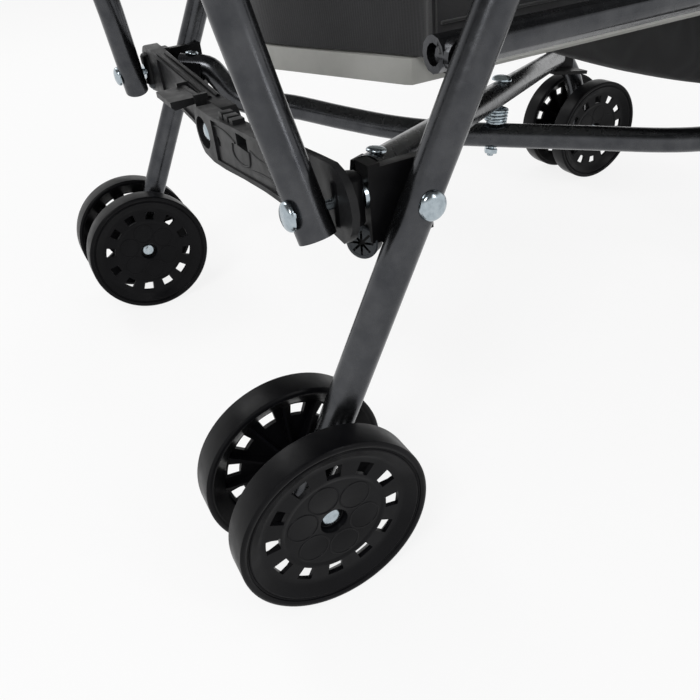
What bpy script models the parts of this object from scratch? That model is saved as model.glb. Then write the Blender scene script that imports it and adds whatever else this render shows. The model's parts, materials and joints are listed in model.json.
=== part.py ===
"""Pet stroller with an umbrella fold: two side frames on twin wheels, held apart by a folding
rear brace and a pair of crossed tubes, with a soft cabin and a hood between them.

Units: millimetres here, metres in the meshes. The front faces -Y, the handles +Y, up is +Z.
Heights are above the floor and y is counted from the rear axle until build_body() shifts it.
"""
import math

import bmesh
import bpy
from mathutils import Matrix, Vector

MM = 0.001
GAP = 0.3                       # running gap between neighbours that touch

# ---------------------------------------------------------------- driving dimensions
WHEEL_R = 62.5
WHEEL_W = 21.2
PAIR_SPACING = 59.4             # between the middles of a pair's two wheels
WHEEL_BORE_R = 4.3
AXLE_R = 4.0
WHEELBASE = 606.0
REAR_X = 221.4                  # rear legs and rear wheel pairs
FRONT_X = 193.0                 # front tubes and front wheel pairs

TUBE_R = 11.0
TUBE_WALL = 1.5
TUBE_SIDES = 12
RIVET_R = 3.0
DRILL_R = RIVET_R + GAP

LEG_SLOPE = -0.5215             # y gained for each mm of height on the rear leg
LEG_FOOT_Z = 50.0

FRONT_BEND = [(-606.0, 50.0), (-604.0, 82.0), (-597.0, 112.0), (-587.0, 134.0), (-573.0, 154.0)]
FRONT_SLOPE = 0.859
HANDLE_BEND_Z = 955.0
# where the rear leg crosses the front tube, and is riveted to it
KNEE_Z = ((FRONT_BEND[-1][0] - FRONT_SLOPE * FRONT_BEND[-1][1] + LEG_SLOPE * WHEEL_R)
          / (LEG_SLOPE - FRONT_SLOPE))
LEG_TOP_Z = KNEE_Z + 18.0
HANDLE_HOOK = [(26.0, 28.0), (58.0, 47.0), (95.0, 50.0), (124.0, 33.0), (140.0, 2.0)]
GRIP_WALL = 5.0

UPRIGHT_X = 205.0               # rear upright at its lower end
UPRIGHT_Y = -33.6
UPRIGHT_FOOT_Z = 222.0
UPRIGHT_LEAN_X = 0.36           # inward lean of its lower stretch
UPRIGHT_LEAN_Y = 0.135
UPRIGHT_BEND_Z = 325.0
UPRIGHT_MID_Z = 420.0
UPRIGHT_MID_SLOPE = 0.20
UPRIGHT_HIGH_SLOPE = 0.08

FOLD_PIVOT_X = 203.0            # outer rivets of the brace
FOLD_PIVOT_Z = 238.0
BRACE_SAG = 9.0                 # the brace's middle rivet sits below its outer ones
BRACE_T = 13.0                  # thickness of each half
BRACE_Y = -37.2                 # rear face of the right half
BRACE_STEP = 8.4                # the right half is thinner where it passes the upright
BRACE_POCKET = 2.0

CROSS_X = 178.0                 # pivots of the crossed tubes
CROSS_Y = -86.0
CROSS_Z = 239.0
CROSS_TILT = math.radians(9.35) # their plane falls towards the front
CROSS_MID_Y = -317.0
CROSS_LENGTH = 575.0
CROSS_TAIL = 11.0
BOW = [(-11, 0), (15, 0), (26, -8), (38, -21), (52, -28), (70, -29), (100, -29), (150, -35), (200, -39.5),
       (250, -40), (300, -37.5), (380, -32.5), (450, -28), (495, -21), (530, -10), (556, -2), (575, 0)]

RAIL_X = 196.0                  # side rails that carry the floor trays
RAIL_Z = 300.0
RAIL_R = 10.0
RAIL_Y = (-116.0, -435.0)
HINGE_X = 169.0                 # the trays' hinges
HINGE_Z = 285.5
TRAY_X = 157.0
TRAY_Z = (275.0, 290.0)
TRAY_REAR = [(157.0, -127.0), (153.0, -124.0), (49.0, -81.0)]
TRAY_FRONT = -480.0
TRAY_SPLIT = 0.75

PANEL_X = (174.8, 178.2)        # cabin side panels
CABIN_TOP = 551.0
CABIN_FRONT = -486.0
CABIN_DIP = 90.0                # how much lower the cabin is at its front
CLOTH_T = 3.0
CUSHION_T = 25.0
POUCH_Z = 196.0

HOOD_X = 150.0
HOOD_R = 285.0
HOOD_EDGE = 147.8               # half the hood's width where its flat sides stand
HOOD_EYE = 8.0
HOOD_WALL = 4.0
HOOD_ARC = (math.radians(12), math.radians(140))
HOOD_PIVOT = (-196.0, 592.0)

SIDES = {"right": -1, "left": 1}
HANDLE_TOP = -573.0 + FRONT_SLOPE * (HANDLE_BEND_Z - 154.0)
GRIP_R = TUBE_R + GAP + GRIP_WALL
BACK_Y = HANDLE_TOP + HANDLE_HOOK[-1][0] + GRIP_R
FRONT_Y = -WHEELBASE - WHEEL_R
SHIFT = Vector((0, -(BACK_Y + FRONT_Y) / 2, 0))


# ---------------------------------------------------------------- scene helpers
def clear_scene():
    for old in list(bpy.data.objects):
        bpy.data.objects.remove(old, do_unlink=True)


def material(name, colour, rough, metal):
    mat = bpy.data.materials.get(name)
    if mat is None:
        mat = bpy.data.materials.new(name)
        mat.use_nodes = True
        bsdf = mat.node_tree.nodes["Principled BSDF"]
        bsdf.inputs["Base Color"].default_value = (*colour, 1)
        bsdf.inputs["Roughness"].default_value = rough
        bsdf.inputs["Metallic"].default_value = metal
    return mat


def gunmetal():
    return material("gunmetal", (0.20, 0.21, 0.23), 0.35, 0.9)


def zinc():
    return material("zinc", (0.62, 0.66, 0.70), 0.25, 1.0)


def black_plastic():
    return material("black_plastic", (0.025, 0.025, 0.030), 0.5, 0.0)


def grey_plastic():
    return material("grey_plastic", (0.13, 0.13, 0.14), 0.5, 0.0)


def foam():
    return material("foam", (0.02, 0.02, 0.02), 0.9, 0.0)


def fabric():
    return material("fabric", (0.03, 0.03, 0.035), 0.9, 0.0)


def pale_plastic():
    return material("pale_plastic", (0.52, 0.52, 0.50), 0.5, 0.1)


EMPTIES = {}


def pivot(name, point, parent=None):
    """An empty on a body's joint axis; the body's pieces hang on it."""
    empty = bpy.data.objects.new("axis_" + name, None)
    bpy.context.collection.objects.link(empty)
    place = Matrix.Translation((Vector(point) + SHIFT) * MM)
    if parent:
        empty.parent = EMPTIES[parent]
        empty.matrix_parent_inverse = world_of(EMPTIES[parent]).inverted()
    empty.matrix_basis = place
    empty["place"] = [v for row in place for v in row]
    EMPTIES[name] = empty
    return empty


def world_of(empty):
    flat = list(empty["place"])
    return Matrix([flat[i:i + 4] for i in range(0, 16, 4)])


def build_body(name, mesh, body, mat, smooth=True):
    """Turn a bmesh in millimetres into a named object that rides on a body's empty."""
    bmesh.ops.recalc_face_normals(mesh, faces=mesh.faces)
    home = world_of(EMPTIES[body])
    for v in mesh.verts:
        v.co = home.inverted() @ ((v.co + SHIFT) * MM)
    data = bpy.data.meshes.new(name)
    mesh.to_mesh(data)
    mesh.free()
    data.materials.append(mat)
    if smooth:
        data.shade_smooth()
        data.set_sharp_from_angle(angle=math.radians(35))
    obj = bpy.data.objects.new(name, data)
    bpy.context.collection.objects.link(obj)
    obj.parent = EMPTIES[body]
    return obj


def boolean(obj, mesh, body, operation="DIFFERENCE"):
    """Cut a shape out of a piece, or add it, with a hidden helper object."""
    helper = build_body("helper_" + obj.name, mesh, body, black_plastic(), smooth=False)
    helper.hide_render = True
    helper.display_type = "WIRE"
    mod = obj.modifiers.new(operation.lower(), "BOOLEAN")
    mod.operation = operation
    mod.solver = "EXACT"
    mod.object = helper
    return obj


# ---------------------------------------------------------------- shape helpers
def frame_along(axis):
    """Two unit vectors square to an axis."""
    axis = Vector(axis).normalized()
    side = Vector((0, 0, 1)) if abs(axis.z) < 0.9 else Vector((1, 0, 0))
    u = axis.cross(side).normalized()
    return u, axis.cross(u).normalized()


def rings_to_mesh(rings, closed_tube):
    """Skin a list of vertex rings; the ends are capped, or joined for a ring-shaped section."""
    mesh = bmesh.new()
    loops = [[mesh.verts.new(p) for p in ring] for ring in rings]
    pairs = list(zip(loops, loops[1:]))
    if closed_tube:
        pairs.append((loops[-1], loops[0]))
    for a, b in pairs:
        n = len(a)
        for i in range(n):
            mesh.faces.new((a[i], a[(i + 1) % n], b[(i + 1) % n], b[i]))
    if not closed_tube:
        mesh.faces.new(loops[0])
        mesh.faces.new(loops[-1])
    return mesh


def tube(points, radius, wall=TUBE_WALL, sides=TUBE_SIDES, turn=0.0):
    """A round tube along a polyline, open at both ends; wall 0 makes a solid rod."""
    points = [Vector(p) for p in points]
    tangents = []
    for i in range(len(points)):
        a = points[max(i - 1, 0)]
        b = points[min(i + 1, len(points) - 1)]
        tangents.append((b - a).normalized())
    u, _ = frame_along(tangents[0])
    outer, inner = [], []
    for p, t in zip(points, tangents):
        u = (u - t * u.dot(t)).normalized()
        v = t.cross(u)
        spokes = [u * math.cos(a) + v * math.sin(a)
                  for a in (turn + 2 * math.pi * k / sides for k in range(sides))]
        outer.append([p + s * radius for s in spokes])
        inner.append([p + s * (radius - wall) for s in spokes])
    if wall:
        return rings_to_mesh(outer + inner[::-1], closed_tube=True)
    return rings_to_mesh(outer, closed_tube=False)


def turned(origin, axis, profile, sides=20, bored=False):
    """A turned piece: profile is (distance along the axis, radius), bored if it has a hole."""
    origin, axis = Vector(origin), Vector(axis).normalized()
    u, v = frame_along(axis)
    rings = []
    for along, radius in profile:
        rings.append([origin + axis * along + (u * math.cos(a) + v * math.sin(a)) * radius
                      for a in (2 * math.pi * k / sides for k in range(sides))])
    return rings_to_mesh(rings, closed_tube=bored)


def prism(outline, origin, u, v, depth):
    """A flat outline in the plane of u and v, extruded along u x v."""
    origin, u, v = Vector(origin), Vector(u).normalized(), Vector(v).normalized()
    w = u.cross(v) * depth
    base = [origin + u * a + v * b for a, b in outline]
    return rings_to_mesh([base, [p + w for p in base]], closed_tube=False)


def block(low, high):
    return prism([(low[0], low[1]), (high[0], low[1]), (high[0], high[1]), (low[0], high[1])],
                 (0, 0, low[2]), (1, 0, 0), (0, 1, 0), high[2] - low[2])


def merged(meshes):
    """Several separate solids in one node."""
    whole = bmesh.new()
    for part in meshes:
        bmesh.ops.recalc_face_normals(part, faces=part.faces)
        data = bpy.data.meshes.new("part")
        part.to_mesh(data)
        part.free()
        whole.from_mesh(data)
        bpy.data.meshes.remove(data)
    return whole


def drill(obj, body, point, axis, radius=DRILL_R, length=70.0):
    start = Vector(point) - Vector(axis).normalized() * length / 2
    return boolean(obj, turned(start, axis, [(0, radius), (length, radius)], 12), body)


def rivet(origin, axis, tail, head, shoulders=(), head_r=8.5, dome=4.5, tail_r=5.0,
          shank_r=RIVET_R):
    """A rivet along axis: its shank runs from tail to head, with spacer shoulders between."""
    profile = [(tail - 3.0, tail_r * 0.6), (tail - 1.5, tail_r), (tail, tail_r), (tail, shank_r)]
    for low, high, radius in shoulders:
        profile += [(low, shank_r), (low, radius), (high, radius), (high, shank_r)]
    profile += [(head, shank_r), (head, head_r), (head + dome * 0.35, head_r),
                (head + dome * 0.8, head_r * 0.7), (head + dome, head_r * 0.3)]
    return turned(origin, axis, profile, 12)


def arc(cx, cy, r, start, stop, steps):
    return [(cx + r * math.cos(math.radians(start + (stop - start) * k / steps)),
             cy + r * math.sin(math.radians(start + (stop - start) * k / steps)))
            for k in range(steps + 1)]


def leg_y(z):
    return LEG_SLOPE * (z - WHEEL_R)


def front_y(z):
    """The front tube's y on its straight stretch."""
    return FRONT_BEND[-1][0] + FRONT_SLOPE * (z - FRONT_BEND[-1][1])


def upright_at(z):
    """Distance from the middle plane and y of an upright's middle line at a height."""
    low = min(z, UPRIGHT_BEND_Z) - UPRIGHT_FOOT_Z
    mid = max(min(z, UPRIGHT_MID_Z) - UPRIGHT_BEND_Z, 0)
    high = max(z - UPRIGHT_MID_Z, 0)
    y = UPRIGHT_Y + UPRIGHT_LEAN_Y * low + UPRIGHT_MID_SLOPE * mid + UPRIGHT_HIGH_SLOPE * high
    return UPRIGHT_X - UPRIGHT_LEAN_X * low, y


# the crossed tubes' plane: "down" is the way its lines fall towards the front
PLANE_DOWN = Vector((0, -math.cos(CROSS_TILT), -math.sin(CROSS_TILT)))
PLANE_UP = Vector((0, -math.sin(CROSS_TILT), math.cos(CROSS_TILT)))
CROSS_ANGLE = math.atan2(CROSS_X, (CROSS_Y - CROSS_MID_Y) / math.cos(CROSS_TILT))
CROSS_REACH = CROSS_X / math.sin(CROSS_ANGLE)


def cross_point(side, along, rise=0.0, offset=0.0):
    """A point on a crossed tube that starts on one side, measured from its pivot."""
    start = Vector((side * CROSS_X, CROSS_Y, CROSS_Z))
    way = Vector((-side, 0, 0)) * math.sin(CROSS_ANGLE) + PLANE_DOWN * math.cos(CROSS_ANGLE)
    across = way.cross(PLANE_UP)
    return start + way * along + PLANE_UP * rise + across * offset


def make_pivots():
    outer = (-FOLD_PIVOT_X, BRACE_Y, FOLD_PIVOT_Z)
    pivot("right_frame", (0, 0, 0))
    pivot("brace_right", outer, "right_frame")
    pivot("brace_left", (0, BRACE_Y, FOLD_PIVOT_Z - BRACE_SAG), "brace_right")
    pivot("left_frame", (FOLD_PIVOT_X, BRACE_Y, FOLD_PIVOT_Z), "brace_left")
    pivot("pedal", (PEDAL_X, PEDAL_AXIS_Y, PEDAL_AXIS_Z), "brace_left")
    for name, side in SIDES.items():
        pivot("cross_" + name, (side * CROSS_X, CROSS_Y, CROSS_Z), name + "_frame")
        pivot("tray_" + name, (side * HINGE_X, 0, HINGE_Z), name + "_frame")
        for where, y in (("rear", 0), ("front", -WHEELBASE)):
            for place, step in (("outer", 1), ("inner", -1)):
                x = side * (pair_x(where) + step * PAIR_SPACING / 2)
                pivot("_".join((where, name, place)), (x, y, WHEEL_R), name + "_frame")
    pivot("hood", (0, *HOOD_PIVOT), "right_frame")


def pair_x(where):
    return REAR_X if where == "rear" else FRONT_X


# ---------------------------------------------------------------- wheels and axles
def wheel_profile():
    """Section of a wheel: tread, recessed web, hub; +along is its dished face."""
    half = WHEEL_W / 2
    web_out, web_in = half - 7.0, half - 10.0
    rim_in = WHEEL_R - 6.0
    return [(-half, WHEEL_R - 2.2), (-half + 1.6, WHEEL_R), (half - 1.6, WHEEL_R),
            (half, WHEEL_R - 2.2), (half, rim_in), (web_out, rim_in - 1.5), (web_out, 13.0),
            (half - 3.0, 12.0), (half - 3.0, WHEEL_BORE_R), (-half, WHEEL_BORE_R), (-half, 12.0),
            (web_in, 13.0), (web_in, rim_in - 1.5), (-half, rim_in)]


def make_wheels():
    for name, side in SIDES.items():
        for where, y in (("rear", 0), ("front", -WHEELBASE)):
            centre = pair_x(where)
            for place, step in (("outer", 1), ("inner", -1)):
                x = side * (centre + step * PAIR_SPACING / 2)
                mesh = turned((x, y, WHEEL_R), (side * step, 0, 0), wheel_profile(), 22, bored=True)
                build_body("wheel_" + "_".join((where, name, place)), mesh,
                           "_".join((where, name, place)), black_plastic())
            make_axle(name, side, where, y)


def make_axle(name, side, where, y):
    """A riveted axle through the tube, with a spacer shoulder on each side of it."""
    body = name + "_frame"
    reach = PAIR_SPACING / 2 + WHEEL_W / 2 - 3.0 + GAP
    inner, outer = TUBE_R + GAP, PAIR_SPACING / 2 - WHEEL_W / 2 - GAP
    profile = [(-reach - 3.4, 2.5), (-reach - 2.0, 6.0), (-reach, 6.5), (-reach, AXLE_R)]
    for low, high in ((-outer, -inner), (inner, outer)):
        profile += [(low, AXLE_R), (low, 8.5), (high, 8.5), (high, AXLE_R)]
    profile += [(reach, AXLE_R), (reach, 9.0), (reach + 1.8, 8.6), (reach + 3.6, 3.0)]
    mesh = turned((side * pair_x(where), y, WHEEL_R), (side, 0, 0), profile, 12)
    build_body("axle_%s_%s" % (where, name), mesh, body, zinc())


# ---------------------------------------------------------------- side frames
def make_side_frame(name, side):
    body = name + "_frame"
    make_rear_leg(name, side, body)
    make_front_tube(name, side, body)
    make_upright(name, side, body)
    make_rivets(name, side, body)
    make_rail(name, side, body)


def make_rear_leg(name, side, body):
    x = side * REAR_X
    points = [(x, leg_y(LEG_FOOT_Z), LEG_FOOT_Z), (x, leg_y(LEG_TOP_Z), LEG_TOP_Z)]
    leg = build_body("rear_leg_" + name, tube(points, TUBE_R), body, gunmetal())
    drill(leg, body, (x, 0, WHEEL_R), (1, 0, 0), WHEEL_BORE_R)
    drill(leg, body, (x, leg_y(KNUCKLE_Z), KNUCKLE_Z), (1, 0, 0))
    drill(leg, body, (x, leg_y(KNEE_Z), KNEE_Z), (1, 0, 0))


def make_front_tube(name, side, body):
    """One tube from the front axle up to the hooked handle."""
    x = side * FRONT_X
    points = [(x, y, z) for y, z in FRONT_BEND]
    points.append((x, HANDLE_TOP, HANDLE_BEND_Z))
    points += [(x, HANDLE_TOP + y, HANDLE_BEND_Z + z) for y, z in HANDLE_HOOK]
    front = build_body("front_tube_" + name, tube(points, TUBE_R), body, gunmetal())
    drill(front, body, (x, -WHEELBASE, WHEEL_R), (1, 0, 0), WHEEL_BORE_R)
    drill(front, body, (x, front_y(KNEE_Z), KNEE_Z), (1, 0, 0))
    drill(front, body, (x, *UPRIGHT_TOP), (1, 0, 0))
    grip_path = points[-5:]
    grip_path[-1] = tuple(Vector(points[-1]) + (Vector(points[-1]) - Vector(points[-2])) * 0.2)
    build_body("grip_" + name, tube(grip_path, GRIP_R, GRIP_WALL - 0.8), body, foam())


def make_upright(name, side, body):
    heights = [UPRIGHT_FOOT_Z, UPRIGHT_BEND_Z - 20, UPRIGHT_BEND_Z, UPRIGHT_BEND_Z + 20,
               UPRIGHT_MID_Z, UPRIGHT_TOP[1] + 15]
    points = []
    for z in heights:
        x, y = upright_at(z)
        points.append((side * x, y, z))
    up = build_body("rear_upright_" + name, tube(points, TUBE_R), body, gunmetal())
    drill(up, body, (side * FOLD_PIVOT_X, UPRIGHT_Y, FOLD_PIVOT_Z), (0, 1, 0))
    drill(up, body, (side * upright_at(UPRIGHT_TOP[1])[0], *UPRIGHT_TOP), (1, 0, 0), length=50)


def make_rivets(name, side, body):
    """The four rivets of a side frame: knuckle, brace end, knee and upright."""
    out = Vector((side, 0, 0))
    leg_out, leg_in = REAR_X + TUBE_R + GAP, REAR_X - TUBE_R - GAP
    front_out, front_in = FRONT_X + TUBE_R + GAP, FRONT_X - TUBE_R - GAP
    low = rivet((0, leg_y(KNUCKLE_Z), KNUCKLE_Z), out, KNUCKLE_IN - GAP, leg_out)
    build_body("knuckle_rivet_" + name, low, body, zinc())
    knee = rivet((0, leg_y(KNEE_Z), KNEE_Z), out, front_in, leg_out,
                 [(front_out, leg_in, 9.0)])
    build_body("knee_rivet_" + name, knee, body, zinc())
    up_out = upright_at(UPRIGHT_TOP[1])[0] + TUBE_R + GAP
    top = rivet((0, *UPRIGHT_TOP), out, up_out - 2 * TUBE_R - 2 * GAP, front_out,
                [(up_out, front_in, 8.0)])
    build_body("upright_rivet_" + name, top, body, zinc())
    tube_y = upright_at(FOLD_PIVOT_Z)[1]
    rear, fore = tube_y + TUBE_R + 1.5, tube_y - TUBE_R - 2.0
    if side < 0:
        shoulders = [(WALL_Y[1] + GAP, END_BARREL[1] - END_BARREL[2] - GAP, 8.0)]
    else:
        shoulders = [(END_BARREL[1] + END_BARREL[2] + GAP, fore, 8.0)]
    end = rivet((side * FOLD_PIVOT_X, 0, FOLD_PIVOT_Z), (0, 1, 0), WALL_Y[0] - GAP, rear,
                [s for s in shoulders if s[1] - s[0] > 0.5])
    build_body("brace_end_rivet_" + name, end, body, zinc())


def make_rail(name, side, body):
    """The side rail: a collar on the front tube, a boss on the leg and two tray hinge lugs."""
    x = side * RAIL_X
    mesh = tube([(x, RAIL_Y[0], RAIL_Z), (x, RAIL_Y[1], RAIL_Z)], RAIL_R, RAIL_R - 6.0)
    rail = build_body("side_rail_" + name, mesh, body, gunmetal())
    at = Vector((side * FRONT_X, front_y(RAIL_Z), RAIL_Z))
    way = Vector((0, FRONT_SLOPE, 1)).normalized()
    collar = turned(at - way * 14, way, [(0, TUBE_R + 3.6), (28, TUBE_R + 3.6)], 24)
    boolean(rail, collar, body, "UNION")
    boolean(rail, turned(at - way * 30, way, [(0, TUBE_R + GAP), (60, TUBE_R + GAP)],
                         TUBE_SIDES * 2), body)
    boss = turned((side * (RAIL_X + 2), leg_y(RAIL_Z), RAIL_Z), (side, 0, 0),
                  [(0, 8.0), (REAR_X - TUBE_R - GAP - RAIL_X - 2, 8.0)], 16)
    boolean(rail, boss, body, "UNION")
    low, high = sorted((side * (HINGE_X - 6.0), side * (RAIL_X - 5.0)))
    for y in LUG_Y:
        boolean(rail, block((low, y - LUG_T / 2, HINGE_Z - 6), (high, y + LUG_T / 2, HINGE_Z + 4)),
                body, "UNION")
        drop_in, drop_out = sorted((side * (RAIL_X - 13.0), side * (RAIL_X - 2.0)))
        boolean(rail, block((drop_in, y - LUG_T / 2, HINGE_Z - 6),
                            (drop_out, y + LUG_T / 2, RAIL_Z - 6.5)), body, "UNION")
    hole = turned((side * HINGE_X, LUG_Y[0] + 20, HINGE_Z), (0, -1, 0),
                  [(0, DRILL_R), (LUG_Y[0] - LUG_Y[1] + 40, DRILL_R)], 12)
    boolean(rail, hole, body)


# ---------------------------------------------------------------- corner knuckles
KNUCKLE_Z = 234.5
KNUCKLE_IN = 203.0
WALL_Y = (-72.0, -64.5)         # the knuckle's wall that the brace rivet passes
LEFT_Y = BRACE_Y - BRACE_T - GAP    # rear face of the left half
LUG_Y = (-150.0, -430.0)
LUG_T = 10.0
_MID = upright_at(UPRIGHT_MID_Z)[1]
TOP_Z = ((_MID - UPRIGHT_HIGH_SLOPE * UPRIGHT_MID_Z - FRONT_BEND[-1][0]
          + FRONT_SLOPE * FRONT_BEND[-1][1]) / (FRONT_SLOPE - UPRIGHT_HIGH_SLOPE))
UPRIGHT_TOP = (upright_at(TOP_Z)[1], TOP_Z)
SLEEVE_TOP = -16.8              # below the crossed tubes' plane
SLEEVE_END = -36.0
SLEEVE_R = 14.0
GUIDE_Z = 166.0
BOSS_SET_BACK = 9.0             # the left boss clears the left half of the brace


def ribbed_circle(radius, ribs, depth):
    """A round outline with shallow grooves down it."""
    points = []
    for k in range(ribs * 2):
        angle = math.pi * k / ribs
        r = radius - (depth if k % 2 else 0)
        points.append((r * math.cos(angle), r * math.sin(angle)))
    return points


def make_knuckle(name, side):
    """The moulded corner: a cheek on the leg, a wall for the brace and a ribbed sleeve."""
    body = name + "_frame"
    leg_in = REAR_X - TUBE_R - GAP
    x_low, x_high = sorted((side * KNUCKLE_IN, side * leg_in))
    cheek = block((x_low, -105, 209), (x_high, WALL_Y[0] + 0.5, 254))
    knuckle = build_body("knuckle_" + name, cheek, body, black_plastic())
    x_low, x_high = sorted((side * 196.0, side * leg_in))
    boolean(knuckle, block((x_low, WALL_Y[0], 211), (x_high, WALL_Y[1], 256)), body, "UNION")
    sleeve = prism(ribbed_circle(SLEEVE_R, 14, 1.2), cross_point(side, 0, SLEEVE_END), (1, 0, 0),
                   -PLANE_DOWN, SLEEVE_TOP - SLEEVE_END)
    boolean(knuckle, sleeve, body, "UNION")
    x_low, x_high = sorted((side * 176.0, side * (leg_in - 1)))
    boolean(knuckle, block((x_low, -93, 210), (x_high, -68, 219.5)), body, "UNION")
    cap_at, cap_axis = cap_place(side)
    boss = turned(cap_at, -cap_axis, [(GAP, 8.0), (24, 8.0)], 16)
    boolean(knuckle, boss, body, "UNION")
    drill(knuckle, body, (side * 206, leg_y(KNUCKLE_Z), KNUCKLE_Z), (1, 0, 0), length=20)
    drill(knuckle, body, (side * FOLD_PIVOT_X, -66, FOLD_PIVOT_Z), (0, 1, 0), length=14)
    tail = turned((side * FOLD_PIVOT_X, -90, FOLD_PIVOT_Z), (0, 1, 0), [(0, 6.5), (18, 6.5)], 14)
    boolean(knuckle, tail, body)
    bore = turned(cross_point(side, 0, SLEEVE_END - 9), PLANE_UP, [(0, DRILL_R), (40, DRILL_R)], 12)
    boolean(knuckle, bore, body)
    room = turned(cross_point(side, 0, SLEEVE_END - 12), PLANE_UP, [(0, 5.4), (12, 5.4)], 12)
    boolean(knuckle, room, body)
    cap = turned(cap_at, cap_axis, [(-2, 9.6), (4.6, 9.6), (6.0, 8.0), (6.6, 3.0)], 20)
    if side < 0:
        boolean(knuckle, cap, body, "UNION")
        cut_star(knuckle, body, cap_at, cap_axis)


def cut_star(obj, body, centre, axis):
    """A star of slots in a round cap, cut as one shape so that they can't leave splinters."""
    u, v = frame_along(axis)
    points = []
    for k in range(8):
        for turn, r in ((-6, 5.6), (6, 5.6), (22.5, 1.9)):
            a = math.radians(45 * k + turn)
            points.append((r * math.cos(a), r * math.sin(a)))
    flip = 1 if u.cross(v).dot(axis) > 0 else -1
    star = prism([(x, flip * y) for x, y in points], centre + axis * 4.2, u, v * flip, 4.0)
    boolean(obj, star, body)


def cap_place(side):
    """Where the slotted cap closes the knuckle's lower boss, and the way it faces."""
    way = cross_point(side, 1) - cross_point(side, 0)
    face = Vector((-way.x, -way.y, 0.09)).normalized()
    back = 0.0 if side < 0 else BOSS_SET_BACK
    return Vector((side * 199.0, -66.0, 209.2)) - face * back, face


# ---------------------------------------------------------------- crossed tubes
def make_crossed_tubes():
    right, left = "cross_right", "cross_left"
    straight = tube([cross_point(-1, -CROSS_TAIL), cross_point(-1, CROSS_LENGTH)], TUBE_R)
    straight = build_body("cross_tube_straight", straight, right, gunmetal())
    bowed = tube([cross_point(1, a, r) for a, r in BOW], TUBE_R)
    bowed = build_body("cross_tube_bowed", bowed, left, gunmetal())
    for obj, body, side in ((straight, right, -1), (bowed, left, 1)):
        hole = turned(cross_point(side, 0, -20), PLANE_UP, [(0, DRILL_R), (40, DRILL_R)], 12)
        boolean(obj, hole, body)
        make_yoke(body, side)
    make_crossing(right, left, bowed)
    for name, side in SIDES.items():
        make_shelf(name, side)


def make_yoke(body, side):
    """The U-shaped end piece under a crossed tube, and the pin that holds both to the sleeve."""
    inner, outer = TUBE_R + 0.4, TUBE_R + 3.0
    floor = SLEEVE_TOP + GAP + 0.2
    section = [(-outer, floor), (outer, floor), (outer, 5), (inner, 5), (inner, -inner),
               (-inner, -inner), (-inner, 5), (-outer, 5)]
    start = cross_point(side, -5)
    way = cross_point(side, 0) - start
    mesh = prism(section, start, way.cross(PLANE_UP), PLANE_UP, -17)
    yoke = build_body("yoke_" + body[6:], mesh, body, black_plastic())
    hole = turned(cross_point(side, 0, -22), PLANE_UP, [(0, DRILL_R), (20, DRILL_R)], 12)
    boolean(yoke, hole, body)
    top = TUBE_R + GAP
    pin = rivet(cross_point(side, 0), PLANE_UP, SLEEVE_END - GAP, top, (), 6.0, 2.5, 4.5)
    build_body("yoke_pin_" + body[6:], pin, body, zinc())


def make_crossing(right, left, bowed):
    """The pivot where the tubes cross: a domed head above, a spring and a nut below."""
    low = bow_rise(CROSS_REACH)
    head = turned(cross_point(-1, CROSS_REACH, TUBE_R + GAP), PLANE_UP,
                  [(0, 9.0), (1.5, 9.0), (4.0, 6.0), (5.0, 2.5)], 18)
    build_body("crossing_head", head, right, zinc())
    top, bottom = -TUBE_R - 0.6, low + TUBE_R
    axis_at = cross_point(1, CROSS_REACH)
    under = low - TUBE_R - 1.0
    profile = [(under - 5.0, 5.0), (under - 4.0, 6.5), (under, 6.5), (under, RIVET_R),
               (top - GAP, RIVET_R)]
    shank = turned(axis_at, PLANE_UP, profile, 16)
    build_body("crossing_bolt", shank, left, zinc())
    hole = turned(cross_point(1, CROSS_REACH, under - 2), PLANE_UP,
                  [(0, DRILL_R), (2 * TUBE_R + 4, DRILL_R)], 12)
    boolean(bowed, hole, left)
    build_body("crossing_spring", coil(axis_at, bottom + 1.4, top - 1.4, 9.5, 1.3, 4.0), left, zinc())


def coil(origin, low, high, radius, wire, turns):
    """A compression spring round PLANE_UP."""
    u, v = frame_along(PLANE_UP)
    steps = int(turns * 9)
    points = []
    for k in range(steps + 1):
        angle = 2 * math.pi * turns * k / steps
        rise = low + (high - low) * k / steps
        points.append(origin + PLANE_UP * rise + (u * math.cos(angle) + v * math.sin(angle)) * radius)
    return tube(points, wire, 0, 5)


def bow_rise(along):
    """How far the bowed tube's middle line lies below its plane at a distance along it."""
    for (a, ra), (b, rb) in zip(BOW, BOW[1:]):
        if a <= along <= b:
            return ra + (rb - ra) * (along - a) / (b - a)
    return 0.0


def make_shelf(name, side):
    """A collar on the front tube with a shelf that guides the other side's crossed tube."""
    body = name + "_frame"
    at = Vector((side * FRONT_X, front_y(GUIDE_Z), GUIDE_Z))
    way = Vector((0, FRONT_SLOPE, 1)).normalized()
    ring = turned(at, way, [(-9, TUBE_R + 2.8), (9, TUBE_R + 2.8), (9, TUBE_R + GAP),
                            (-9, TUBE_R + GAP)], TUBE_SIDES * 2, bored=True)
    shelf = build_body("tube_guide_" + name, ring, body, black_plastic())
    face = FRONT_X - TUBE_R - GAP
    low, high = sorted((side * (face - 3.4), side * face))
    boolean(shelf, block((low, at.y - 12, 141), (high, at.y + 14, GUIDE_Z + 13)), body, "UNION")
    rise = -TUBE_R - 0.8 - 4.0 if side > 0 else TUBE_R + 0.8
    origin = Vector((0, CROSS_Y, CROSS_Z)) + PLANE_UP * rise
    low, high = sorted((side * 150.0, side * (face - 1.0)))
    down = (at.y - CROSS_Y) / PLANE_DOWN.y
    outline = [(low, down - 40), (high, down - 40), (high, down + 12), (low, down + 12)]
    plate = prism(outline, origin, (1, 0, 0), PLANE_DOWN, -4.0)
    boolean(shelf, plate, body, "UNION")


# ---------------------------------------------------------------- folding brace
PEDAL_X = 49.5
PEDAL_AXIS_Y = BRACE_Y - BRACE_T + 3.6
PEDAL_AXIS_Z = 246.0


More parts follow.
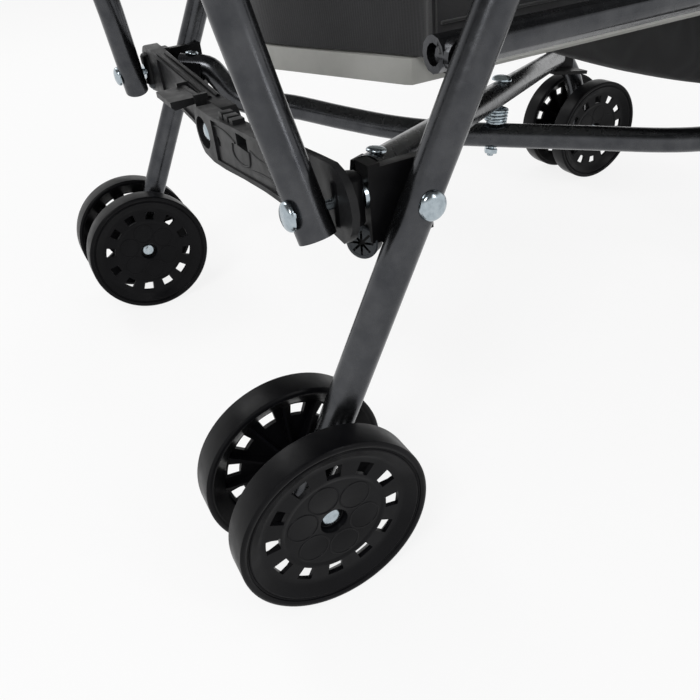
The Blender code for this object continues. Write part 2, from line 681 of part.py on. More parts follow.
def brace_outline(reach_in, reach_out):
    """The right half's outline in x and z, from its inner end to its outer end."""
    middle = FOLD_PIVOT_Z - BRACE_SAG
    lower = [(-12, middle - 19.5), (-40, middle - 17.5), (-82, 216.5), (-120, 220), (-165, 222)]
    upper = [(-185, 259.2), (-150, 256), (-110, 253), (-60, 249.3), (-20, middle + 17.4)]
    inner = arc(0, middle, reach_in, 64, -66, 7)
    outer = arc(-FOLD_PIVOT_X, FOLD_PIVOT_Z, reach_out, 245, 95, 7)
    return upper + inner + lower + outer


def make_brace():
    make_brace_right()
    make_brace_left()
    middle = rivet((0, 0, FOLD_PIVOT_Z - BRACE_SAG), (0, 1, 0), LEFT_Y - BRACE_T - GAP,
                   BRACE_Y - BRACE_RECESS + GAP, (), 7.5, 4.5)
    build_body("brace_rivet", middle, "brace_right", zinc())
    make_pedal()


BRACE_RECESS = 5.0
BRACE_END_IN = 19.5
BRACE_END_OUT = 22.5
END_BARREL = (206.0, -53.4, 8.3)    # x, y and radius of the upright barrel on each outer end


def make_brace_right():
    body = "brace_right"
    middle = FOLD_PIVOT_Z - BRACE_SAG
    outline = brace_outline(BRACE_END_IN, BRACE_END_OUT)
    plate = prism(outline, (0, BRACE_Y, 0), (1, 0, 0), (0, 0, 1), BRACE_T)
    half = build_body("brace_right_half", plate, body, grey_plastic())
    field = [(-154, 225.5), (-120, 223.5), (-82, 220), (-24, 214.2), (-24, 244), (-60, 246.8),
             (-110, 250.4), (-154, 253.6)]
    boolean(half, prism(field, (0, BRACE_Y + 1, 0), (1, 0, 0), (0, 0, 1), BRACE_POCKET + 1), body)
    step = block((-240, BRACE_Y - BRACE_STEP, 200), (-158, BRACE_Y + 1, 290))
    boolean(half, step, body)
    oval = [(15.0 * x + 2, 12.0 * z + middle - 0.5) for x, z in arc(0, 0, 1, 0, 345, 23)]
    boolean(half, prism(oval, (0, BRACE_Y + 2, 0), (1, 0, 0), (0, 0, 1), BRACE_RECESS + 2), body)
    boolean(half, end_barrel(-1), body, "UNION")
    drill(half, body, (-29, BRACE_Y, middle), (0, 1, 0), 3.6, 40)
    window = block((-92.5, BRACE_Y - BRACE_T - 1, 237.5), (-72, BRACE_Y + 1, 246.5))
    boolean(half, window, body)
    drill(half, body, (0, BRACE_Y, middle), (0, 1, 0))
    drill(half, body, (-FOLD_PIVOT_X, BRACE_Y, FOLD_PIVOT_Z), (0, 1, 0))
    for k in range(3):
        x = -67.0 + 11.0 * k
        boolean(half, block((x, BRACE_Y - 12, 244), (x + 7, BRACE_Y - 3, 252.6)), body, "UNION")


def end_barrel(side):
    """The upright barrel on a half's outer end, with a rounded pin end under it."""
    x, y, r = END_BARREL
    return turned((side * x, y, 219.7), (0, 0, 1),
                  [(0, 3.0), (1.2, 5.4), (3.2, 6.8), (6.3, 6.8), (6.3, r), (31.5, r), (33.3, r - 1.8)], 20)


def make_brace_left():
    body = "brace_left"
    middle = FOLD_PIVOT_Z - BRACE_SAG
    outline = [(-x, z) for x, z in brace_outline(BRACE_END_IN, BRACE_END_OUT)][::-1]
    back = LEFT_Y
    plate = prism(outline, (0, back, 0), (1, 0, 0), (0, 0, 1), BRACE_T)
    half = build_body("brace_left_half", plate, body, grey_plastic())
    boolean(half, end_barrel(1), body, "UNION")
    field = [(24, 214.2), (82, 220), (120, 223.5), (165, 225.5), (165, 254), (110, 250.4),
             (84, 248), (84, middle + 8), (24, middle + 8)]
    boolean(half, prism(field, (0, back + 1, 0), (1, 0, 0), (0, 0, 1), BRACE_POCKET + 1), body)
    drill(half, body, (0, back, middle), (0, 1, 0))
    drill(half, body, (FOLD_PIVOT_X, back, FOLD_PIVOT_Z), (0, 1, 0))
    for x in (PEDAL_X - PEDAL_HALF - 5.0, PEDAL_X + PEDAL_HALF + GAP + 0.7):
        ear = block((x, back - 2, PEDAL_AXIS_Z - 5), (x + 4, PEDAL_AXIS_Y + 5, PEDAL_AXIS_Z + 5))
        boolean(half, ear, body, "UNION")
    pin = turned((PEDAL_X - PEDAL_HALF - 3, PEDAL_AXIS_Y, PEDAL_AXIS_Z), (1, 0, 0),
                 [(0, 1.5), (2 * PEDAL_HALF + 6, 1.5)], 10)
    boolean(half, pin, body, "UNION")


PEDAL_HALF = 21.0
PEDAL_TIP_Y = -23.4             # the tip passes in front of the uprights as the brace folds


def make_pedal():
    """The foot pedal that unlocks the brace, on its own pin."""
    length = PEDAL_HALF * 2
    barrel = turned((PEDAL_X - PEDAL_HALF, PEDAL_AXIS_Y, PEDAL_AXIS_Z), (1, 0, 0),
                    [(0, 3.4), (length, 3.4), (length, 1.8), (0, 1.8)], 12, bored=True)
    pedal = build_body("lock_pedal", barrel, "pedal", grey_plastic())
    low, tip = PEDAL_AXIS_Y + 2.4, PEDAL_TIP_Y
    outline = [(low, -2.4), (tip - 3, -4.4), (tip, -2.0), (tip, 2.2), (low, 2.4)]
    tongue = prism(outline, (PEDAL_X - PEDAL_HALF, 0, PEDAL_AXIS_Z), (0, 1, 0), (0, 0, 1), length)
    boolean(pedal, tongue, "pedal", "UNION")


# ---------------------------------------------------------------- cabin and hood
def rounded_box(x, y, radius, steps=4):
    return (arc(x[1] - radius, y[1] - radius, radius, 0, 90, steps)
            + arc(x[0] + radius, y[1] - radius, radius, 90, 180, steps)
            + arc(x[0] + radius, y[0] + radius, radius, 180, 270, steps)
            + arc(x[1] - radius, y[0] + radius, radius, 270, 360, steps))


def make_trays():
    """Two floor leaves that meet in the middle, each hinged on its side rail."""
    for name, side in SIDES.items():
        body = "tray_" + name
        outline = [(side * x, y) for x, y in TRAY_REAR]
        outline += [(side * TRAY_SPLIT, TRAY_REAR[-1][1]), (side * TRAY_SPLIT, TRAY_FRONT),
                    (side * 120, TRAY_FRONT), (side * TRAY_X, TRAY_FRONT + 37)]
        leaf = prism(outline, (0, 0, TRAY_Z[0]), (1, 0, 0), (0, 1, 0), TRAY_Z[1] - TRAY_Z[0])
        leaf = build_body("floor_tray_" + name, leaf, body, pale_plastic())
        inner = LUG_Y[0] - LUG_T / 2 - GAP, LUG_Y[1] + LUG_T / 2 + GAP
        barrel = turned((side * HINGE_X, inner[0], HINGE_Z), (0, -1, 0),
                        [(0, 5.0), (inner[0] - inner[1], 5.0)], 14)
        boolean(leaf, barrel, body, "UNION")
        pin = turned((side * HINGE_X, LUG_Y[0] + LUG_T / 2 + 2, HINGE_Z), (0, -1, 0),
                     [(0, RIVET_R), (LUG_Y[0] - LUG_Y[1] + LUG_T + 4, RIVET_R)], 12)
        boolean(leaf, pin, body, "UNION")
        low, high = sorted((side * (TRAY_X - 4), side * HINGE_X))
        for y in (inner[0] - 12, (inner[0] + inner[1]) / 2, inner[1] + 12):
            boolean(leaf, block((low, y - 10, HINGE_Z - 4), (high, y + 10, HINGE_Z + 4)),
                    body, "UNION")


def wall(outline, z_low, z_high, body, name, thick=CLOTH_T):
    """An upright cloth wall along a line in plan; its thickness grows to the line's left."""
    outline = [Vector((*p, 0)) for p in outline]
    shifted = []
    for i, p in enumerate(outline):
        a = (p - outline[i - 1]).normalized() if i else None
        b = (outline[i + 1] - p).normalized() if i + 1 < len(outline) else None
        na = Vector((-a.y, a.x, 0)) if a else Vector((-b.y, b.x, 0))
        nb = Vector((-b.y, b.x, 0)) if b else na
        n = (na + nb).normalized()
        shifted.append(p + n * thick / max(n.dot(na), 0.5))
    flat = [(p.x, p.y) for p in outline + shifted[::-1]]
    return build_body(name, prism(flat, (0, 0, z_low), (1, 0, 0), (0, 1, 0), z_high - z_low),
                      body, fabric())


def make_cabin():
    low = TRAY_Z[1] + GAP
    rear_y = TRAY_REAR[0][1] - CLOTH_T - 2
    for name, side in SIDES.items():
        x_low, x_high = sorted((side * PANEL_X[0], side * PANEL_X[1]))
        low_z, front_top = HINGE_Z + 12, CABIN_TOP - CABIN_DIP
        outline = [(CABIN_FRONT, low_z), (rear_y, low_z), (rear_y, CABIN_TOP),
                   (-330, CABIN_TOP), (-400, CABIN_TOP - 12), (CABIN_FRONT, front_top)]
        panel = prism(outline, (x_low, 0, 0), (0, 1, 0), (0, 0, 1), x_high - x_low)
        build_body("cabin_side_" + name, panel, name + "_frame", fabric(), smooth=False)
    edge = PANEL_X[1]
    half = [(edge, TRAY_REAR[0][1] - 1), (TRAY_REAR[1][0], TRAY_REAR[1][1]), TRAY_REAR[2]]
    rear = [(x, y) for x, y in half] + [(-x, y) for x, y in half[::-1]]
    rear = [(x, y - CLOTH_T - 0.5) if abs(x) < edge else (x, y - CLOTH_T) for x, y in rear]
    wall(rear[::-1], low, CABIN_TOP, "right_frame", "cabin_rear")
    front = [(-edge, CABIN_FRONT - GAP), (-150, CABIN_FRONT - 2), (-60, CABIN_FRONT - 12),
             (60, CABIN_FRONT - 12), (150, CABIN_FRONT - 2), (edge, CABIN_FRONT - GAP)]
    wall(front[::-1], low, CABIN_TOP - CABIN_DIP, "right_frame", "cabin_front")
    pad = rounded_box((-152, 152), (CABIN_FRONT + 16, TRAY_REAR[0][1] - 12), 30)
    build_body("cushion", prism(pad, (0, 0, low), (1, 0, 0), (0, 1, 0), CUSHION_T),
               "right_frame", fabric())
    pouch = rounded_box((-140, 140), (-500, -440), 16)
    build_body("front_pouch", prism(pouch, (0, 0, POUCH_Z), (1, 0, 0), (0, 1, 0),
                                    TRAY_Z[0] - GAP - POUCH_Z), "right_frame", fabric())


def hood_radius(x):
    return HOOD_R * (1 - (abs(x) / HOOD_X) ** 3.2) ** (1 / 3.2)


def make_hood():
    """A hood of cloth on two bows: a shell turned about the hood's pivot axis."""
    columns, rows = 14, 10
    mesh = bmesh.new()
    grids = []
    for inset in (0.0, HOOD_WALL):
        grid = []
        for i in range(columns + 1):
            turn = min(max(i - 1, 0), columns - 2) / (columns - 2)
            x = -HOOD_EDGE * math.cos(math.pi * turn)
            radius = (HOOD_EYE if i in (0, columns) else hood_radius(x) - inset)
            line = []
            for j in range(rows + 1):
                angle = HOOD_ARC[0] + (HOOD_ARC[1] - HOOD_ARC[0]) * j / rows
                line.append(mesh.verts.new((x * (1 - inset / HOOD_EDGE),
                                            HOOD_PIVOT[0] - radius * math.cos(angle),
                                            HOOD_PIVOT[1] + radius * math.sin(angle))))
            grid.append(line)
        grids.append(grid)
    outer, inner = grids
    for grid in grids:
        for i in range(columns):
            for j in range(rows):
                mesh.faces.new((grid[i][j], grid[i + 1][j], grid[i + 1][j + 1], grid[i][j + 1]))
    rim = ([(i, 0) for i in range(columns)] + [(columns, j) for j in range(rows)]
           + [(i, rows) for i in range(columns, 0, -1)] + [(0, j) for j in range(rows, 0, -1)])
    for (i, j), (k, m) in zip(rim, rim[1:] + rim[:1]):
        mesh.faces.new((outer[i][j], outer[k][m], inner[k][m], inner[i][j]))
    build_body("hood", mesh, "hood", fabric())
    for name, side in SIDES.items():
        low, high = HOOD_EDGE + 0.6, FRONT_X - TUBE_R - 0.6
        boss = turned((0, *HOOD_PIVOT), (side, 0, 0), [(low, 15), (low + 5, 15), (low + 8, 9),
                                                       (high, 9)], 16)
        build_body("hood_pivot_" + name, boss, name + "_frame", black_plastic())


def main():
    clear_scene()
    make_pivots()
    for name, side in SIDES.items():
        make_side_frame(name, side)
        make_knuckle(name, side)
    make_wheels()
    make_crossed_tubes()
    make_brace()
    make_trays()
    make_cabin()
    make_hood()


main()
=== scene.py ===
"""Looks for the folding pet stroller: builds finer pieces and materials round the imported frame."""
import json
import math

import bmesh
import bpy
from mathutils import Matrix, Vector, noise

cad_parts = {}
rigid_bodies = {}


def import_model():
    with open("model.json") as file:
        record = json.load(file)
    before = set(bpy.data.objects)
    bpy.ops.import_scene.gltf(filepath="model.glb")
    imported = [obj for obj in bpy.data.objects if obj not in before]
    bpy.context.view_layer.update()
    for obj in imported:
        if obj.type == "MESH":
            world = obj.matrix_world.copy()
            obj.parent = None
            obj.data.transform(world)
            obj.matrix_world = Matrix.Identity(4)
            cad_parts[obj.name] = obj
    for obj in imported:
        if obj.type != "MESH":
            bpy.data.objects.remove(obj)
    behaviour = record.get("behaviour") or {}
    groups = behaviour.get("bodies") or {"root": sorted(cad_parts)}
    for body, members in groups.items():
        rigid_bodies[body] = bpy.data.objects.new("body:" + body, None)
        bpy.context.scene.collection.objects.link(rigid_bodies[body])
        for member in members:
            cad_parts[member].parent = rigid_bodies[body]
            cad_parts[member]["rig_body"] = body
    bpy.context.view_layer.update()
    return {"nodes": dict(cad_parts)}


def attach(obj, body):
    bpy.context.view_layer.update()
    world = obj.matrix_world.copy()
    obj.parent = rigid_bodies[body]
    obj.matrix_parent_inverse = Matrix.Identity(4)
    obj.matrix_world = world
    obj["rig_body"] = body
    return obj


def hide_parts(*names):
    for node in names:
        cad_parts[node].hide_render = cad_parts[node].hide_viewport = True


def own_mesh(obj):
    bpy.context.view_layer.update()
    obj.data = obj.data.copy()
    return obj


MM = 0.001
SHIFT_Y = 198.5705        # from the rear axle, where these numbers start, to the middle of the box

WHEEL_R = 62.5
PAIR = 29.7               # from a pair's middle to each of its wheels
TUBE_R = 11.0
REAR_X, FRONT_X = 221.4, 193.0
WHEELBASE = 606.0
FOLD_X, FOLD_Z, SAG = 203.0, 238.0, 9.0
BRACE_Y, BRACE_T = -37.2, 13.0
LEFT_Y = BRACE_Y - BRACE_T - 0.3
BARREL = (206.0, -53.4, 8.3)    # x, y and radius of the upright barrel on the brace's outer ends
SIDES = {"right": -1, "left": 1}


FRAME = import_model()
NODES = FRAME["nodes"]
BODY_OF = {n: o["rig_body"] for n, o in NODES.items()}


def at(x, y, z):
    """A point given in millimetres from the rear axle's middle, in the row frame."""
    return Vector((x, y + SHIFT_Y, z)) * MM


# ---------------------------------------------------------------- camera, light and floor
def make_camera():
    data = bpy.data.cameras.new("camera")
    data.sensor_width = 36
    data.lens = 694.09 / 700 * 36
    data.clip_start = 0.02
    data.clip_end = 50
    cam = bpy.data.objects.new("camera", data)
    bpy.context.collection.objects.link(cam)
    az, el, roll = (math.radians(a) for a in (245.57, 35.09, -6.25))
    back = Vector((math.sin(az) * math.cos(el), -math.cos(az) * math.cos(el), math.sin(el)))
    right = (-back).cross(Vector((0, 0, 1))).normalized()
    up = right.cross(-back)
    tilted = right * math.cos(roll) + up * math.sin(roll)
    above = up * math.cos(roll) - right * math.sin(roll)
    basis = Matrix((tilted, above, back)).transposed().to_4x4()
    cam.matrix_world = Matrix.Translation(at(-523.2, 99.1, 387.9)) @ basis
    bpy.context.scene.camera = cam


def area_light(name, where, target, size, power):
    data = bpy.data.lights.new(name, "AREA")
    data.shape = "RECTANGLE"
    data.size, data.size_y = size
    data.energy = power
    lamp = bpy.data.objects.new(name, data)
    bpy.context.collection.objects.link(lamp)
    lamp.location = where
    lamp.rotation_euler = (Vector(target) - Vector(where)).to_track_quat("-Z", "Y").to_euler()
    return lamp


def background_factor(nodes, links):
    """1 for the rays that should see the plain white background."""
    path = nodes.new("ShaderNodeLightPath")
    last = path.outputs["Is Camera Ray"]
    for ray in ("Is Glossy Ray", "Is Transmission Ray"):
        either = nodes.new("ShaderNodeMath")
        either.operation = "MAXIMUM"
        links.new(last, either.inputs[0])
        links.new(path.outputs[ray], either.inputs[1])
        last = either.outputs[0]
    return last


def make_studio():
    world = bpy.data.worlds.new("studio")
    bpy.context.scene.world = world
    world.use_nodes = True
    nodes, links = world.node_tree.nodes, world.node_tree.links
    nodes.clear()
    out = nodes.new("ShaderNodeOutputWorld")
    mix = nodes.new("ShaderNodeMixShader")
    for k, strength in enumerate((0.55, 1.0)):
        sky = nodes.new("ShaderNodeBackground")
        sky.inputs["Color"].default_value = (1, 1, 1, 1)
        sky.inputs["Strength"].default_value = strength
        links.new(sky.outputs[0], mix.inputs[1 + k])
    links.new(background_factor(nodes, links), mix.inputs[0])
    links.new(mix.outputs[0], out.inputs[0])
    height = nodes.new("ShaderNodeSeparateXYZ")
    links.new(nodes.new("ShaderNodeTexCoord").outputs["Generated"], height.inputs[0])
    ceiling = nodes.new("ShaderNodeMapRange")
    for socket, value in zip(ceiling.inputs[1:5], (0.28, 0.6, 1.0, 0.1)):
        socket.default_value = value
    links.new(height.outputs["Z"], ceiling.inputs[0])
    links.new(ceiling.outputs[0], sky.inputs["Strength"])
    area_light("key", (-1.5, 1.7, 2.4), (0, 0, 0.3), (0.9, 0.9), 30)
    area_light("fill", (-2.2, -1.0, 1.7), (0, 0, 0.3), (0.35, 1.4), 10)
    area_light("rim", (1.8, 0.8, 1.9), (0, 0, 0.4), (1.0, 1.0), 12)
    s = 9.0
    mesh = bpy.data.meshes.new("floor")
    mesh.from_pydata([(-s, -s, 0), (s, -s, 0), (s, s, 0), (-s, s, 0)], [], [(0, 1, 2, 3)])
    floor = bpy.data.objects.new("floor", mesh)
    bpy.context.collection.objects.link(floor)
    floor.location.z = -0.0004
    mat = bpy.data.materials.new("floor_white")
    mat.use_nodes = True
    nodes, links = mat.node_tree.nodes, mat.node_tree.links
    nodes.clear()
    out = nodes.new("ShaderNodeOutputMaterial")
    rough = nodes.new("ShaderNodeBsdfDiffuse")
    rough.inputs["Color"].default_value = (0.9, 0.9, 0.9, 1)
    glow = nodes.new("ShaderNodeEmission")
    glow.inputs["Color"].default_value = (1, 1, 1, 1)
    glow.inputs["Strength"].default_value = 1.0
    share = nodes.new("ShaderNodeMath")
    share.operation = "MULTIPLY"
    share.inputs[1].default_value = 0.85
    links.new(background_factor(nodes, links), share.inputs[0])
    mix = nodes.new("ShaderNodeMixShader")
    links.new(share.outputs[0], mix.inputs[0])
    links.new(rough.outputs[0], mix.inputs[1])
    links.new(glow.outputs[0], mix.inputs[2])
    links.new(mix.outputs[0], out.inputs[0])
    floor.data.materials.append(mat)


# ---------------------------------------------------------------- materials
class Shader:
    """A Principled material with helpers that keep the node code short."""

    def __init__(self, name, colour, rough, metal=0.0, **sockets):
        self.mat = bpy.data.materials.new(name)
        self.mat.use_nodes = True
        self.nodes, self.links = self.mat.node_tree.nodes, self.mat.node_tree.links
        self.bsdf = self.nodes["Principled BSDF"]
        self.bsdf.inputs["Base Color"].default_value = (*colour, 1)
        self.bsdf.inputs["Roughness"].default_value = rough
        self.bsdf.inputs["Metallic"].default_value = metal
        for socket, value in sockets.items():
            self.bsdf.inputs[socket.replace("_", " ")].default_value = value
        self.where = self.nodes.new("ShaderNodeTexCoord").outputs["Object"]
        self.last_bump = None

    def noise(self, scale, detail=4.0, rough=0.5, vector=None):
        node = self.nodes.new("ShaderNodeTexNoise")
        node.inputs["Scale"].default_value = scale
        node.inputs["Detail"].default_value = detail
        node.inputs["Roughness"].default_value = rough
        self.links.new(vector or self.where, node.inputs["Vector"])
        return node.outputs[0]

    def wave(self, scale, direction, distortion=0.0, kind="BANDS", vector=None):
        node = self.nodes.new("ShaderNodeTexWave")
        node.wave_type = kind
        node.bands_direction = direction
        node.inputs["Scale"].default_value = scale
        node.inputs["Distortion"].default_value = distortion
        node.inputs["Detail"].default_value = 1.0
        self.links.new(vector or self.where, node.inputs["Vector"])
        return node.outputs["Fac"]

    def math(self, operation, a, b=None):
        node = self.nodes.new("ShaderNodeMath")
        node.operation = operation
        for k, value in enumerate((a, b)):
            if value is None:
                continue
            if isinstance(value, (int, float)):
                node.inputs[k].default_value = value
            else:
                self.links.new(value, node.inputs[k])
        return node.outputs[0]

    def ramp(self, value, stops):
        """A colour ramp; stops are (position, colour)."""
        node = self.nodes.new("ShaderNodeValToRGB")
        ends = node.color_ramp.elements
        while len(ends) < len(stops):
            ends.new(0.5)
        for end, (place, colour) in zip(ends, stops):
            end.position = place
            end.color = (*colour, 1) if len(colour) == 3 else colour
        self.links.new(value, node.inputs[0])
        return node.outputs[0]

    def colour(self, value, stops):
        self.links.new(self.ramp(value, stops), self.bsdf.inputs["Base Color"])
        return self

    def roughness(self, value, low, high):
        grey = self.ramp(value, [(0.3, (low,) * 3), (0.7, (high,) * 3)])
        self.links.new(grey, self.bsdf.inputs["Roughness"])
        return self

    def bump(self, height, strength, distance):
        node = self.nodes.new("ShaderNodeBump")
        node.inputs["Strength"].default_value = strength
        node.inputs["Distance"].default_value = distance
        self.links.new(height, node.inputs["Height"])
        if self.last_bump is not None:
            self.links.new(self.last_bump, node.inputs["Normal"])
        self.last_bump = node.outputs[0]
        self.links.new(self.last_bump, self.bsdf.inputs["Normal"])
        return self


def tube_paint():
    s = Shader("tube_paint", (0.065, 0.067, 0.072), 0.22, 0.95)
    cloud = s.noise(55, 5, 0.6)
    s.colour(cloud, [(0.25, (0.045, 0.047, 0.052)), (0.75, (0.085, 0.087, 0.092))])
    s.roughness(s.noise(180, 3), 0.20, 0.30)
    return s.bump(s.noise(900, 2), 0.04, 0.0003).mat


def zinc():
    s = Shader("zinc_plate", (0.6, 0.64, 0.68), 0.22, 1.0)
    cloud = s.noise(260, 4, 0.6)
    s.colour(cloud, [(0.2, (0.30, 0.35, 0.38)), (0.55, (0.42, 0.48, 0.52)), (0.9, (0.52, 0.55, 0.56))])
    s.roughness(s.noise(420, 3), 0.14, 0.28)
    return s.bump(s.noise(700, 3), 0.12, 0.0003).mat


def moulded(name, dark, light, rough_low, rough_high, grain=1400, strength=0.16, gloss=0.16):
    s = Shader(name, dark, rough_low, Specular_IOR_Level=gloss)
    s.colour(s.noise(34, 5, 0.6), [(0.3, dark), (0.72, light)])
    s.roughness(s.noise(90, 4), rough_low, rough_high)
    s.bump(s.noise(grain, 2), strength, 0.0004)
    return s.bump(s.noise(60, 2), 0.1, 0.0012).mat


def cloth(name, dark, light, scale=1.0):
    """Woven polyester: two crossed sets of threads with a soft sheen."""
    s = Shader(name, dark, 0.85, Sheen_Weight=0.18, Sheen_Roughness=0.5)
    warp = s.wave(430 * scale, "X", 0.4)
    weft = s.math("MAXIMUM", s.wave(430 * scale, "Y", 0.4), s.wave(430 * scale, "Z", 0.4))
    weave = s.math("MULTIPLY", warp, weft)
    tone = s.math("ADD", s.math("MULTIPLY", weave, 0.5), s.math("MULTIPLY", s.noise(24, 4), 0.5))
    s.colour(tone, [(0.2, dark), (0.8, light)])
    s.bump(weave, 0.35, 0.0005)
    return s.bump(s.noise(45, 3), 0.25, 0.002).mat


def foam():
    s = Shader("grip_foam", (0.02, 0.02, 0.021), 0.9)
    s.colour(s.noise(500, 4), [(0.3, (0.012, 0.012, 0.013)), (0.7, (0.034, 0.034, 0.036))])
    return s.bump(s.noise(1100, 3), 0.5, 0.0008).mat


PAINT, ZINC, FOAM = tube_paint(), zinc(), foam()
WHEEL = moulded("wheel_plastic", (0.0022, 0.0022, 0.0028), (0.0050, 0.0050, 0.0060),
                0.28, 0.42, 1400, 0.1, 0.10)
BLACK = moulded("knuckle_plastic", (0.0022, 0.0022, 0.0026), (0.0050, 0.0050, 0.0055),
                0.32, 0.46, 1400, 0.12, 0.12)
GREY = moulded("brace_plastic", (0.009, 0.0092, 0.010), (0.018, 0.0182, 0.019),
               0.34, 0.48, 1100, 0.16, 0.18)
CAP = moulded("cap_plastic", (0.030, 0.035, 0.040), (0.050, 0.056, 0.062), 0.38, 0.5, 1100, 0.16, 0.3)
PALE = moulded("tray_plastic", (0.33, 0.33, 0.31), (0.40, 0.40, 0.38), 0.42, 0.55, 900, 0.12, 0.4)
CLOTH = cloth("black_cloth", (0.006, 0.006, 0.007), (0.022, 0.022, 0.024))
TAPE = cloth("binding_tape", (0.010, 0.010, 0.011), (0.045, 0.045, 0.047), 2.2)
FLEECE = cloth("cushion_cloth", (0.014, 0.014, 0.016), (0.048, 0.048, 0.052), 0.6)


# ---------------------------------------------------------------- shapes (millimetres from the rear axle)
def piece(name, mesh, mat, body, stands_for=(), sharp=35, smooth=True):
    """A finished piece from a bmesh in millimetres: it rides on a body and may replace CAD nodes."""
    for v in mesh.verts:
        v.co = at(*v.co)
    bmesh.ops.recalc_face_normals(mesh, faces=mesh.faces)
    data = bpy.data.meshes.new(name)
    mesh.to_mesh(data)
    mesh.free()
    return dress(bpy.data.objects.new(name, data), mat, body, stands_for, sharp, smooth)


def dress(obj, mat, body, stands_for=(), sharp=35, smooth=True, ride=True):
    if obj.name not in bpy.context.collection.objects:
        bpy.context.collection.objects.link(obj)
    obj.data.materials.clear()
    obj.data.materials.append(mat)
    if smooth:
        obj.data.shade_smooth()
        obj.data.set_sharp_from_angle(angle=math.radians(sharp))
    if ride:
        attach(obj, body)
    if stands_for:
        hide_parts(*stands_for)
    return obj


def frame_along(axis):
    axis = Vector(axis).normalized()
    side = Vector((0, 0, 1)) if abs(axis.z) < 0.9 else Vector((1, 0, 0))
    u = axis.cross(side).normalized()
    return u, axis.cross(u).normalized()


def skin(rings, closed):
    mesh = bmesh.new()
    loops = [[mesh.verts.new(p) for p in ring] for ring in rings]
    pairs = list(zip(loops, loops[1:])) + ([(loops[-1], loops[0])] if closed else [])
    for a, b in pairs:
        n = len(a)
        for i in range(n):
            mesh.faces.new((a[i], a[(i + 1) % n], b[(i + 1) % n], b[i]))
    if not closed:
        mesh.faces.new(loops[0])
        mesh.faces.new(loops[-1])
    return mesh


def rounded_path(points, radius, steps=8):
    """A polyline with its corners rounded off by quadratic curves."""
    points = [Vector(p) for p in points]
    path = [points[0]]
    for a, b, c in zip(points, points[1:], points[2:]):
        r = min(radius, (b - a).length * 0.48, (c - b).length * 0.48)
        start, stop = b + (a - b).normalized() * r, b + (c - b).normalized() * r
        for k in range(steps + 1):
            t = k / steps
            path.append(start * (1 - t) ** 2 + b * 2 * t * (1 - t) + stop * t * t)
    path.append(points[-1])
    return path


def tube(points, radius=TUBE_R, wall=1.5, sides=40):
    points = [Vector(p) for p in points]
    steps = len(points)
    tangents = [(points[min(i + 1, steps - 1)] - points[max(i - 1, 0)]).normalized()
                for i in range(steps)]
    u, _ = frame_along(tangents[0])
    outer, inner = [], []
    for p, t in zip(points, tangents):
        u = (u - t * u.dot(t)).normalized()
        v = t.cross(u)
        spokes = [u * math.cos(a) + v * math.sin(a)
                  for a in (2 * math.pi * k / sides for k in range(sides))]
        outer.append([p + s * radius for s in spokes])
        inner.append([p + s * (radius - wall) for s in spokes])
    if wall:
        edge = 0.35
        first, last = tangents[0] * edge, tangents[-1] * edge
        outer = [[p - first * 0 for p in outer[0]]] + outer[1:]
        return skin(outer + inner[::-1], True)
    return skin(outer, False)


def turned(origin, axis, profile, sides=48, bored=False):
    origin, axis = Vector(origin), Vector(axis).normalized()
    u, v = frame_along(axis)
    rings = [[origin + axis * along + (u * math.cos(a) + v * math.sin(a)) * radius
              for a in (2 * math.pi * k / sides for k in range(sides))]
             for along, radius in profile]
    return skin(rings, bored)


def prism(outline, origin, u, v, depth):
    origin, u, v = Vector(origin), Vector(u).normalized(), Vector(v).normalized()
    w = u.cross(v) * depth
    base = [origin + u * a + v * b for a, b in outline]
    return skin([base, [p + w for p in base]], False)


def together(*meshes):
    whole = bmesh.new()
    for part in meshes:
        bmesh.ops.recalc_face_normals(part, faces=part.faces)
        data = bpy.data.meshes.new("part")
        part.to_mesh(data)
        part.free()
        whole.from_mesh(data)
        bpy.data.meshes.remove(data)
    return whole


def bevelled(obj, width, segments=3, angle=30):
    mod = obj.modifiers.new("bevel", "BEVEL")
    mod.width = width * MM
    mod.segments = segments
    mod.limit_method = "ANGLE"
    mod.angle_limit = math.radians(angle)
    mod.harden_normals = True
    return obj


def finer(node, name, mat, width, segments=2):
    """A copy of a CAD solid with softened edges, which stands for it."""
    data = NODES[node].data.copy()
    mesh = bmesh.new()
    mesh.from_mesh(data)
    bmesh.ops.remove_doubles(mesh, verts=mesh.verts, dist=1e-6)
    bmesh.ops.dissolve_limit(mesh, angle_limit=math.radians(1), verts=mesh.verts, edges=mesh.edges)
    mesh.to_mesh(data)
    mesh.free()
    obj = dress(bpy.data.objects.new(name, data), mat, BODY_OF[node], (node,))
    return bevelled(obj, width, segments)


def leg_y(z):
    return -0.5215 * (z - WHEEL_R)


def front_y(z):
    return -573.0 + 0.859 * (z - 154.0)


def upright_at(z):
    low, mid, high = min(z, 325.0) - 222.0, max(min(z, 420.0) - 325.0, 0), max(z - 420.0, 0)
    return 205.0 - 0.36 * low, -33.6 + 0.135 * low + 0.2 * mid + 0.08 * high


